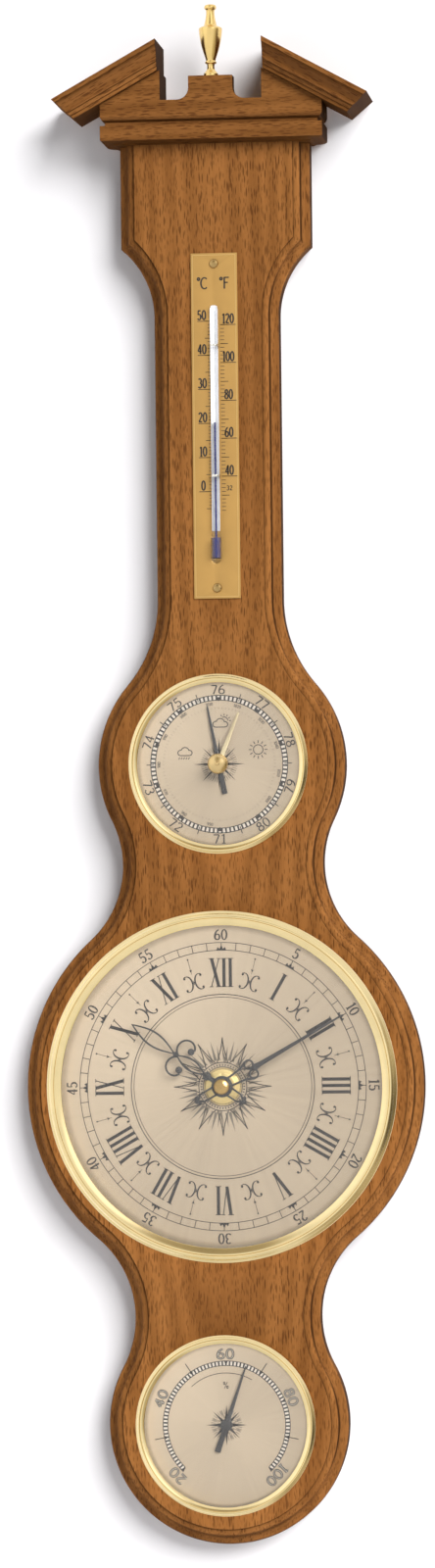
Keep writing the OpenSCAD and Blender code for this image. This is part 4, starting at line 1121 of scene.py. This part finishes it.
def bezel_profile(out_r, in_r, seat, h):
    """Section of a bezel: a fine edge, a band that slopes out, a groove and a band that slopes in"""
    wide = out_r - in_r
    groove = in_r + 0.5 * wide
    edge = 0.1 * wide
    crest = groove + 0.1 * wide
    fall = 0.8 * (out_r - edge - crest)
    rows = [(seat, 0), (out_r, 0), (out_r, h - fall - edge)]
    for k in range(1, 6):
        a = math.radians(9 * k)
        rows.append((out_r - edge + edge * math.cos(a), h - fall - edge + edge * math.sin(a)))
    for k in range(1, 9):
        t = k / 8
        rows.append((out_r - edge * 1.3 - (out_r - edge * 1.3 - crest) * t, h - fall * (1 - t) ** 1.25))
    inner, lip = groove - 0.14, 0.12
    rows += [(groove + 0.14, h - 0.12), (groove, h - 0.36), (inner, h - 0.14)]
    for k in range(1, 9):
        t = k / 8
        rows.append((inner - (inner - in_r - lip) * t, h - 0.14 - 0.85 * t ** 1.5))
    rows += [(in_r + lip, h - 1.2), (in_r, h - 1.32), (in_r, h - 1.6), (seat, h - 1.6)]
    return rows


class STATION_OT_bezels(bpy.types.Operator):
    """Turn the three bezels and lay the glasses in them"""
    bl_idname = "station.bezels"
    bl_label = "Bezels and glasses"

    def execute(self, context):
        for name, height, sizes in (
            ("barometer", BARO_Z, SMALL_BEZEL), ("hygrometer", HYGRO_Z, SMALL_BEZEL),
            ("clock", CLOCK_Z, CLOCK_BEZEL),
        ):
            ring = lathe(f"{name}_rim", bezel_profile(*sizes), on_board(height), 256, 40)
            finish_piece(ring, polished_brass(), "station", "polished_brass", f"{name}_bezel")
            ring.visible_shadow = False
            soften(f"{name}_pane", f"{name}_glass", 0, glass_material(), "station", "clear_glass")
        return {"FINISHED"}


# Clock

def scroll_ornament():
    """A dotted stem over a pair of opposed scrolls; its foot points to the centre of the dial"""
    ornament = Print()
    ornament.dot(0, 7.6, 0.42)
    ornament.band([(0, 7.4), (0, 0.4)], 0.22)
    ornament.shape([(0, 1.2), (0.75, 2.7), (0, 2.3), (-0.75, 2.7)])
    for side, middle in ((-1, 0), (1, 180)):
        ornament.bow(side * 3.05, -3.6, 2.4, 3.7, middle - 118, middle + 118, 0.75, 0.34)
        for up in (-1, 1):
            ornament.dot(side * 3.9, -3.6 + up * 2.85, 0.55)
    ornament.shape([(0, -2.2), (0.3, -3.6), (0, -5.0), (-0.3, -3.6)])
    return ornament


def crown():
    """A small three-pointed crown that stands on the inner line of the track"""
    mark = Print()
    mark.shape([(-2.3, -0.35), (2.3, -0.35), (2.0, 0.25), (-2.0, 0.25)])
    for x, half, rise in ((-1.5, 0.6, 1.0), (0.0, 0.75, 2.1), (1.5, 0.6, 1.0)):
        mark.shape([(x - half, 0.2), (x + half, 0.2), (x * 1.15, rise)])
    return mark


class STATION_OT_clock_face(bpy.types.Operator):
    """Print the clock's dial: minute track, figures, Roman hours, scrolls and the centre star"""
    bl_idname = "station.clock_face"
    bl_label = "Clock face"

    def execute(self, context):
        dial = Dial("clock", CLOCK_Z, CLOCK_DIAL, CLOCK_BEZEL)
        dial.around("minute_ticks", tick(3.6, 0.34), 60, 65.7)
        dial.around("five_minute_crowns", crown(), 12, 64.4)
        dial.around("scrolls", scroll_ornament(), 12, 54.0, first=15)
        dial.around("star_rays", open_ray(11.2, 23, 2.6, 0.46), 12, 0)
        dial.around("star_fine_rays", solid_ray(12.5, 22, 0.75), 12, 0, first=15, material=grey_ink())
        dial.around("star_side_rays", solid_ray(12.5, 19.5, 0.6), 24, 0, first=7.5, material=grey_ink())
        dial.around("star_dots", tick(0.9, 0.5), 48, 10.1)
        dial.around("hub_ticks", tick(1.1, 0.36), 36, 7.9)
        lines = Print()
        for radius, width in (
            (67.5, 0.34), (63.9, 0.34), (43.2, 0.4), (41.9, 0.28), (11.3, 0.38), (9.2, 0.34),
        ):
            lines.circle(radius, width)
        height = settings("dials").figure_height / MM
        for k in range(1, 13):
            lines.ring_of(figures(str(k * 5), height, 0.17, 0.09, 0.98), k * 30, 71.2)
        dial.lay("dial_lines_and_figures", lines)
        hours = Print()
        names = ("I", "II", "III", "IIII", "V", "VI", "VII", "VIII", "IX", "X", "XI", "XII")
        for k, text in enumerate(names):
            hours.ring_of(roman(text, 13.2), (k + 1) * 30, 53.4)
        dial.lay("roman_hours", hours)
        gilt = Print()
        gilt.circle(6.6, 4.6)
        dial.lay("gilt_ring", gilt, coated("ring_gilt", (0.46, 0.34, 0.16), 0.5, bump=0.02))
        return {"FINISHED"}


# Small dials

def compass_star(points, reach, ring_r):
    """A compass star: long dark points between short hatched ones, over a fine ring"""
    star = Print()
    long_ray, short_ray = solid_ray(2.0, reach, 0.85), solid_ray(2.0, reach * 0.92, 0.7)
    for k in range(points):
        star.ring_of(short_ray if k % 2 else long_ray, 360 / points * k, 0)
        star.ring_of(open_ray(3, ring_r, 0.9, 0.14), 360 / points * (k + 0.5), 0)
    return star


def wedge(half, top, foot):
    """A small solid triangle that points to the centre of the dial"""
    mark = Print()
    mark.shape([(-half, top), (0, -foot), (half, top)])
    return mark


class STATION_OT_barometer_face(bpy.types.Operator):
    """Print the barometer's dial: pressure figures, beaded scale, weather signs and a star"""
    bl_idname = "station.barometer_face"
    bl_label = "Barometer face"

    def execute(self, context):
        dial = Dial("barometer", BARO_Z, SMALL_DIAL, SMALL_BEZEL)
        dial.around("scale_ladder", tick(1.9, 0.85), 100, 31.2, first=1.8)
        dial.around("half_unit_marks", tick(3.6, 0.42), 10, 32.6, first=18)
        dial.around("unit_marks", wedge(1.0, 0.9, 1.2), 10, 30.6)
        dial.around("inner_ticks", tick(0.8, 0.2), 100, 26.3, material=grey_ink())
        dial.around("ring_hatching", tick(2.4, 0.3), 48, 7.4, material=grey_ink())
        band = Print()
        band.circle(31.2, 1.9)
        dial.lay("pale_scale_band", band, pale_paint(), layer=0.5)
        lines = Print()
        lines.circle(30.1, 0.42)
        lines.circle(32.35, 0.44)
        top, unit, centimetres_of_hectopascal = 76, 36, 0.0750062
        for centimetres in range(71, 81):
            turn = (centimetres - top) % 10 * unit
            lines.ring_of(figures(str(centimetres), 4.3, 0.155, 0.095, 1.22), turn, 35.1, 100 < turn < 260)
        for hectopascals in range(950, 1070, 10):
            turn = (hectopascals * centimetres_of_hectopascal - top) * unit
            lines.ring_of(figures(str(hectopascals), 1.4, 0.2, 0.14, 1.0), turn, 28.5, abs(turn) > 100)
        lines.join(sun_outline(2.25, 4.4, 0.42), shift=(18.5, 6.6))
        lines.join(cloud_outline(7.6, 0.46), shift=(0.6, 18.6))
        lines.join(sun_outline(1.7, 3.2, 0.4, last=120), shift=(2.6, 20.4))
        lines.join(cloud_outline(7.2, 0.46), shift=(-16.2, 5.4))
        for k in range(5):
            x = -18.6 + 1.15 * k
            lines.band([(x, 3.4), (x - 0.5, 2.4)], 0.42)
        lines.join(compass_star(8, 12.2, 8.6))
        dial.lay("barometer_print", lines)
        return {"FINISHED"}


class STATION_OT_hygrometer_face(bpy.types.Operator):
    """Print the hygrometer's dial: humidity figures in outline, its scale and a star"""
    bl_idname = "station.hygrometer_face"
    bl_label = "Hygrometer face"

    def execute(self, context):
        dial = Dial("hygrometer", HYGRO_Z, SMALL_DIAL, SMALL_BEZEL)
        half_turn = 135
        per_cent = 2 * half_turn / 80
        dial.around("per_cent_ticks", tick(1.9, 0.78), 81, 28.9, -half_turn, per_cent)
        dial.around("ten_per_cent_marks", wedge(1.0, 1.1, 1.2), 9, 29.0, -half_turn, 10 * per_cent)
        dial.around("long_marks", tick(6.6, 0.42), 4, 31.2, -30 * per_cent, 20 * per_cent)
        dial.around("hygrometer_ring_hatching", tick(2.1, 0.28), 40, 6.3, material=grey_ink())
        band = Print()
        band.bow(0, 0, 28.85, 28.85, 90 - half_turn, 90 + half_turn, 1.8, steps=120)
        dial.lay("pale_per_cent_band", band, pale_paint(), layer=0.5)
        lines = Print()
        for radius in (27.8, 29.9):
            lines.bow(0, 0, radius, radius, 90 - half_turn, 90 + half_turn, 0.38, steps=120)
        lines.bow(0, 0, 24.3, 24.3, 60, 132, 0.34, steps=30)
        lines.join(figures("%", 3.2, 0.13, 0.1), shift=(0, 18.6))
        lines.join(compass_star(8, 9.7, 7.2))
        hollow = Print()
        for value in range(20, 101, 20):
            turn = (value - 60) * per_cent
            lines.ring_of(figures(str(value), 4.6, 0.26, 0.2, 1.4), turn, 33.2)
            hollow.ring_of(figures(str(value), 4.6, 0.05, 0.03, 1.4), turn, 33.2)
        dial.lay("hygrometer_print", lines)
        dial.lay("figure_hearts", hollow, pale_paint(), layer=2)
        return {"FINISHED"}


# Thermometer

# Height of the plate over the board, places of its zero and its screws, and length of a degree
PLATE_TOP = 0.8
ZERO_Z = -137.6
DEGREE = 1.609
LOW_SCREW_Z = -183.0
HIGH_SCREW_Z = -30.0


class STATION_OT_thermometer(bpy.types.Operator):
    """Finish the thermometer: printed plate, screws, glass tube with its white back, and clips"""
    bl_idname = "station.thermometer"
    bl_label = "Thermometer"

    def execute(self, context):
        soften("scale_plate", "thermometer_plate", 0.18, scale_brass(), "station", "satin_brass")
        self.scale_print()
        brass = metal("screw_brass", (0.5, 0.34, 0.14), 0.24)
        repeat("plate_screw_heads", "line", self.screw_head(), brass, "polished_brass", "plate_screws",
               centre=(0, BOARD_FRONT - PLATE_TOP, 0),
               count=2, radius=0, first=LOW_SCREW_Z, step=HIGH_SCREW_Z - LOW_SCREW_Z)
        soften("glass_tube", "thermometer_tube", 0, glass_material("tube_glass"), "station", "clear_glass")
        self.tube_back()
        dress("thermometer_fill", coated("blue_liquid", (0.012, 0.02, 0.16), 0.12, coat=0.6, bump=0.0))
        bright = metal("clip_metal", (0.85, 0.84, 0.8), 0.12)
        soften("clips", "tube_clips", 0.1, bright, "station", "steel")
        return {"FINISHED"}

    def scale_print(self):
        """The two scales, their figures and the line round the plate"""
        level = PLATE_TOP + INK_LIFT
        ink = ink_material()

        def ladder(name, length, width, x, count, first, step):
            """Short level lines up the plate"""
            repeat(name, "line", tick(width, length).piece(name + "_part"), ink, "satin_brass",
                   centre=(0, BOARD_FRONT - level, 0), count=count, radius=x, first=first, step=step)

        fahrenheit = DEGREE * 5 / 9
        zero_f = ZERO_Z - 32 * fahrenheit
        ladder("celsius_ticks", 2.0, 0.26, -2.2, 56, ZERO_Z - 5 * DEGREE, DEGREE)
        ladder("celsius_fives", 3.4, 0.3, -2.9, 12, ZERO_Z - 5 * DEGREE, 5 * DEGREE)
        ladder("celsius_tens", 6.9, 0.34, -4.6, 6, ZERO_Z, 10 * DEGREE)
        ladder("fahrenheit_ticks", 1.9, 0.26, 3.6, 50, zero_f + 22 * fahrenheit, 2 * fahrenheit)
        ladder("fahrenheit_tens", 3.6, 0.3, 4.5, 10, zero_f + 30 * fahrenheit, 10 * fahrenheit)
        ladder("fahrenheit_twenties", 7.4, 0.34, 6.4, 5, zero_f + 40 * fahrenheit, 20 * fahrenheit)
        above_line = 2.9
        lines = Print()
        for value in range(0, 51, 10):
            lines.join(figures(str(value), 4.6, 0.17, 0.13, 0.68),
                       shift=(-5.9, ZERO_Z + value * DEGREE + above_line))
        for value in range(40, 121, 20):
            lines.join(figures(str(value), 4.6, 0.17, 0.13, 0.66),
                       shift=(6.5, zero_f + value * fahrenheit + above_line))
        lines.join(figures("32", 2.2, 0.18, 0.14), shift=(6.4, ZERO_Z + 1.6))
        lines.join(figures("oC", 5.5, 0.14, 0.11), shift=(-5.2, -39.2))
        lines.join(figures("oF", 5.5, 0.14, 0.11), shift=(5.2, -39.2))
        finish_piece(lines.piece("scale_print", 0.0, level), ink, "station", "satin_brass")

        border = Print()
        half, top, low = 10.1, -25.9, -187.1
        corners = [(-half, low), (half, low), (half, top), (-half, top)]
        for k in range(4):
            border.band([corners[k - 1], corners[k]], 0.22)
        finish_piece(border.piece("plate_border", 0.0, level), metal("border_line", (0.8, 0.56, 0.24), 0.35),
                     "station", "satin_brass")

    def screw_head(self):
        """A domed head with its slot, and the shank behind it"""
        r, shank_r, shank, edge, dome = 2.15, 1.2, 9.0, 0.25, 0.85
        profile = [(0, -shank), (shank_r, -shank), (shank_r, 0), (r, 0), (r, edge)]
        for degrees in range(15, 90, 15):
            a = math.radians(degrees)
            profile.append((r * math.cos(a), edge + dome * math.sin(a)))
        profile.append((0, edge + dome))
        head = lathe("screw_head", profile, lambda x, y, h: (x, -h, y), 40)
        corners = [(x, y, z) for x in (-3, 3) for y in (-2, -0.55) for z in (-0.28, 0.28)]
        sides = [[0, 1, 3, 2], [4, 6, 7, 5], [0, 4, 5, 1], [2, 3, 7, 6], [0, 2, 6, 4], [1, 5, 7, 3]]
        cutter = mesh_object("slot_cutter", corners, sides)
        cutter.data.transform(Matrix.Rotation(math.radians(32), 4, "Y"))
        cut = head.modifiers.new("slot", "BOOLEAN")
        cut.object = cutter
        cut.solver = "EXACT"
        settle(head)
        head.data.set_sharp_from_angle(angle=math.radians(32))
        bpy.data.objects.remove(cutter)
        return head

    def tube_back(self):
        """The white enamel band inside the glass, behind the capillary"""
        r, wall_r, steps = 1.62, 1.3, 14
        vertices, faces = [], []
        low, high = -156.5, -50.4
        for z in (low, high):
            for radius in (r, wall_r):
                points = [on_circle(radius, 8 + 164 * k / steps, 0, TUBE_Y) for k in range(steps + 1)]
                vertices += [(x, y, z) for x, y in points]
        n = steps + 1
        for k in range(steps):
            faces += [[k, k + 1, 2 * n + k + 1, 2 * n + k], [n + k, 3 * n + k, 3 * n + k + 1, n + k + 1],
                      [k, n + k, n + k + 1, k + 1], [2 * n + k, 2 * n + k + 1, 3 * n + k + 1, 3 * n + k]]
        faces += [[0, 2 * n, 3 * n, n], [n - 1, 2 * n - 1, 4 * n - 1, 3 * n - 1]]
        band = mesh_object("tube_enamel", vertices, faces)
        face_outward(band)
        finish_piece(band, coated("enamel", (0.86, 0.87, 0.9), 0.25, bump=0.0), "station", "clear_glass")


# Hands

class STATION_OT_hands(bpy.types.Operator):
    """Finish the hands, pointers, the marker and its knob, and the cap nut"""
    bl_idname = "station.hands"
    bl_label = "Hands and pointers"

    def execute(self, context):
        for name, node, body, width in (
            ("hour_blade", "hour_hand", "hour", 0.12),
            ("minute_blade", "minute_hand", "minute", 0.12),
            ("pressure_needle", "barometer_pointer", "pressure_pointer", 0.1),
            ("humidity_needle", "hygrometer_pointer", "humidity_pointer", 0.1),
        ):
            soften(name, node, width, hand_paint(), body, "hand_black", angle=40)
        soften("marker_blade", "marker_hand", 0.08, metal("marker_brass", (0.6, 0.5, 0.31), 0.38), "marker",
               "polished_brass", angle=40)
        self.marker_knob()
        self.cap_nut()
        soften("bush_nut", "movement_nut", 0.1, metal("gilt", (0.78, 0.6, 0.27), 0.3), "station",
               "polished_brass", angle=40)
        dress("barometer_arbor", plated_steel())
        return {"FINISHED"}

    def marker_knob(self):
        """Domed brass knob with a fine cone in its middle, on a shaft through the glass"""
        top, r = 6.9, 4.8
        rows = [(0, 3.7), (0.8, 3.7), (0.8, 4.85), (1.22, 4.85), (1.22, top), (r * 0.72, top),
                (r * 0.8, top + 0.6), (r * 0.96, top + 0.8), (r, top + 1.0), (r, top + 1.5)]
        for k in range(1, 12):
            a = math.radians(78 * k / 11)
            rows.append((r * math.cos(a), top + 1.5 + 2.55 * math.sin(a)))
        rows += [(0.95, top + 4.1), (0.8, top + 4.35), (0.35, top + 4.5), (0, top + 4.5)]
        knob = lathe("setting_knob_cap", rows, on_board(BARO_Z), 96, 35)
        finish_piece(knob, metal("knob_brass", (0.74, 0.55, 0.27), 0.24), "marker", "polished_brass",
                     "marker_knob")

    def cap_nut(self):
        """Domed nut that holds the hands on"""
        low, r = 6.4, 3.7
        rows = [(0, 7.45), (1.62, 7.45), (1.62, low), (r - 0.15, low), (r, low + 0.15), (r, low + 1.15)]
        for k in range(1, 12):
            a = math.radians(84 * k / 11)
            rows.append((r * math.cos(a), low + 1.2 + 1.7 * math.sin(a)))
        rows.append((0, low + 2.9))
        nut = lathe("centre_cap", rows, on_board(CLOCK_Z), 96, 35)
        finish_piece(nut, metal("cap_brass", (0.53, 0.35, 0.125), 0.2), "minute", "polished_brass",
                     "hand_cap_nut")


# Inside and back

class STATION_OT_works(bpy.types.Operator):
    """Finish the works, the cases and the fittings at the back"""
    bl_idname = "station.works"
    bl_label = "Works and back fittings"

    def execute(self, context):
        finishes = {
            felt_material(): ["wall_pads"],
            coated("rubber", (0.015, 0.015, 0.015), 0.85, bump=0.3): ["instrument_gaskets"],
            plated_steel(): [
                "hanger_plate", "hanger_screws", "capsule_spring", "rocker_lever", "clock_backplate",
                "backplate_screws", "stepping_rotor", "battery_contacts", "hairspring", "barometer_case",
                "hygrometer_case",
            ],
            metal("capsule_metal", (0.62, 0.62, 0.6), 0.35): ["aneroid_capsule"],
            cast_brass(): ["barometer_base_plate", "arbor_bridge", "hygrometer_bridge", "adjusting_screw",
                           "hygroscopic_coil"],
            coated("pale_plastic", (0.62, 0.58, 0.48), 0.4, bump=0.1): [
                "minute_arbor", "minute_wheel", "hour_wheel", "third_wheel",
            ],
            coated("circuit_green", (0.02, 0.11, 0.04), 0.3, coat=0.4): ["circuit_board"],
            metal("coil_wire", (0.7, 0.32, 0.14), 0.35): ["stator_coil"],
        }
        for material, names in finishes.items():
            for name in names:
                dress(name, material)
        black = coated("black_plastic", (0.018, 0.018, 0.02), 0.42, bump=0.2)
        for name, node in (("case_shell", "movement_case"), ("case_cover", "movement_cover")):
            soften(name, node, 0.35, black, "station", "black_plastic")
        soften("time_knob", "setting_knob", 0.15, coated("knob_plastic", (0.6, 0.6, 0.56), 0.35),
               "setting_knob", "pale_plastic")
        soften("cell", "battery", 0.5, self.battery_wrap(), "battery", "battery_wrap")
        return {"FINISHED"}

    def battery_wrap(self):
        """A plain wrap: black body with a copper-coloured band at one end, bare metal at the tips"""
        material, tree, shader = new_material("battery_wrap")
        x, _, _ = axes(place_node(tree))
        band = ramp(x, 0.011, 0.0114)
        tip = ramp(x.maths("ABSOLUTE"), 0.0238, 0.024)
        wrapped = blend_colour(tree, band, (0.02, 0.02, 0.022), (0.55, 0.25, 0.08))
        feed_all(shader, {
            "Base Color": blend_colour(tree, tip, wrapped, (0.6, 0.6, 0.6)),
            "Metallic": tip,
            "Roughness": 0.28,
        })
        return material


# Stage

# The room, and the directions that its two lamps shine from
FLOOR_Z = -950.0
ROOM_HALF = 2500.0
ROOM_FRONT = -3500.0
KEY_FROM = (0.78, -1.0, 0.7)
REAR_FROM = (0.0, 1.0, 0.25)


class STATION_OT_stage(bpy.types.Operator):
    """Set up the wall, the floor, the light and the camera"""
    bl_idname = "station.stage"
    bl_label = "Stage"

    def execute(self, context):
        values = settings("stage")
        context.scene.view_settings.view_transform = "Standard"
        self.wall_and_floor()
        self.world(values.fill)
        self.sun("key", values.key, 43, KEY_FROM)
        self.sun("rear", values.rear, 20, REAR_FROM)
        self.camera(values)
        return {"FINISHED"}

    def sun(self, name, strength, degrees, place):
        """A broad lamp far off, which metal and glass don't show"""
        light = bpy.data.lights.new(name, "SUN")
        light.energy = strength
        light.angle = math.radians(degrees)
        lamp = bpy.data.objects.new(name, light)
        lamp.rotation_euler = Vector(place).to_track_quat("Z", "Y").to_euler()
        lamp.visible_glossy = False
        bpy.context.scene.collection.objects.link(lamp)

    def wall_and_floor(self):
        """A pale wall, which can't be seen from behind, and a pale floor"""
        plaster, tree, shader = new_material("plaster")
        feed_all(shader, {"Base Color": (0.85, 0.84, 0.855), "Roughness": 0.9, "Specular IOR Level": 0.1})
        see_through(tree, shader, from_node(tree, "ShaderNodeNewGeometry", {}, "Backfacing"))
        pale, _, shader = new_material("pale_floor")
        feed_all(shader, {"Base Color": (0.86, 0.855, 0.86), "Roughness": 0.8})
        left, right, wall_y = -ROOM_HALF, ROOM_HALF, 0.5
        wall = mesh_object("wall", [
            (left, wall_y, FLOOR_Z), (right, wall_y, FLOOR_Z), (right, wall_y, ROOM_HALF),
            (left, wall_y, ROOM_HALF),
        ], [[0, 1, 2, 3]])
        floor = mesh_object("floor", [
            (left, ROOM_FRONT, FLOOR_Z), (right, ROOM_FRONT, FLOOR_Z), (right, ROOM_HALF, FLOOR_Z),
            (left, ROOM_HALF, FLOOR_Z),
        ], [[0, 1, 2, 3]])
        wall.data.materials.append(plaster)
        floor.data.materials.append(pale)
        wall.visible_shadow = False
        floor.visible_glossy = False

    def world(self, strength):
        """Even light from all round; polished metal sees softer and darker parts of the room"""
        world = bpy.data.worlds.new("room")
        bpy.context.scene.world = world
        world.use_nodes = True
        tree = world.node_tree
        tree.nodes.clear()
        direction = from_node(tree, "ShaderNodeTexCoord", {}, "Generated")
        x, _, z = axes(direction)

        def patch(towards, far, near, amount):
            """Soft round spot of the room in a direction"""
            spot = from_node(tree, "ShaderNodeVectorMath", {0: direction, 1: Vector(towards).normalized()},
                             "Value", operation="DOT_PRODUCT")
            return ramp(spot, far, near, 0.0, amount)

        room = ramp(z, -0.95, -0.4, 0.85, 1.0) * ramp(x, 0.8, 0.97, 1.0, 0.5)
        for towards, far, near, amount in (
            ((-0.08, -0.82, 0.55), 0.93, 0.985, -0.6), ((0.8, -0.34, -0.49), 0.74, 0.94, -0.42),
            ((-0.72, -0.6, 0.35), 0.8, 0.97, 0.3), ((0.457, -0.8, 0.376), 0.94, 0.985, 0.7),
        ):
            room = room + patch(towards, far, near, amount)
        tint = blend_colour(tree, ramp(room, 0.45, 0.95), (1.0, 0.87, 0.64), (1.0, 0.99, 0.97))

        def background(colour, power):
            return from_node(tree, "ShaderNodeBackground", {"Color": colour, "Strength": power})

        def choose(share, a, b):
            return from_node(tree, "ShaderNodeMixShader", {0: share, 1: a, 2: b})

        white = (1, 1, 1)
        rays = tree.nodes.new("ShaderNodeLightPath").outputs
        lit = choose(Signal(rays["Is Glossy Ray"]), background(white, strength), background(tint, room))
        seen = Signal(rays["Is Camera Ray"]).maths("MAXIMUM", Signal(rays["Is Transmission Ray"]))
        add_node(tree, "ShaderNodeOutputWorld", {0: choose(seen, lit, background(white, 1.0))})

    def camera(self, values):
        """A long lens that looks at the station's middle"""
        a, e = values.azimuth, values.elevation
        back = Vector((math.sin(a) * math.cos(e), -math.cos(a) * math.cos(e), math.sin(e)))
        level = (-back).cross(Vector((0, 0, 1))).normalized()
        upward = level.cross(-back)
        c, s = math.cos(values.roll), math.sin(values.roll)
        right = level * c + upward * s
        up = upward * c - level * s
        data = bpy.data.cameras.new("camera")
        data.sensor_width = 36.0
        data.lens = data.sensor_width * values.distance / values.tall
        data.clip_end = 50
        camera = bpy.data.objects.new("camera", data)
        bpy.context.scene.collection.objects.link(camera)
        bpy.context.scene.camera = camera
        turned = Matrix((right, up, back)).transposed().to_4x4()
        turned.translation = Vector(values.target) + back * values.distance
        camera.matrix_world = turned


# Add-on

OPERATORS = (
    STATION_OT_stage, STATION_OT_woodwork, STATION_OT_finial, STATION_OT_bezels, STATION_OT_clock_face,
    STATION_OT_barometer_face, STATION_OT_hygrometer_face, STATION_OT_thermometer, STATION_OT_hands,
    STATION_OT_works,
)


class STATION_PT_panel(bpy.types.Panel):
    """Settings and steps of the weather station"""
    bl_label = "Weather station"
    bl_idname = "STATION_PT_panel"
    bl_space_type = "VIEW_3D"
    bl_region_type = "UI"
    bl_category = "Station"

    def draw(self, context):
        for name, kind in GROUPS.items():
            box = self.layout.box()
            for label in kind.__annotations__:
                box.prop(getattr(context.scene, name), label)
        for operator in OPERATORS:
            self.layout.operator(operator.bl_idname)


GROUPS = {
    "station_wood": StationWood,
    "station_metal": StationMetal,
    "station_dials": StationDials,
    "station_stage": StationStage,
}
CLASSES = (*GROUPS.values(), *OPERATORS, STATION_PT_panel)


def register():
    for item in CLASSES:
        bpy.utils.register_class(item)
    for name, group in GROUPS.items():
        setattr(bpy.types.Scene, name, bpy.props.PointerProperty(type=group))


def unregister():
    for name in GROUPS:
        delattr(bpy.types.Scene, name)
    for item in reversed(CLASSES):
        bpy.utils.unregister_class(item)


def main():
    register()
    for operator in OPERATORS:
        area, name = operator.bl_idname.split(".")
        getattr(getattr(bpy.ops, area), name)()
    bpy.context.view_layer.update()


if __name__ == "__main__":
    main()
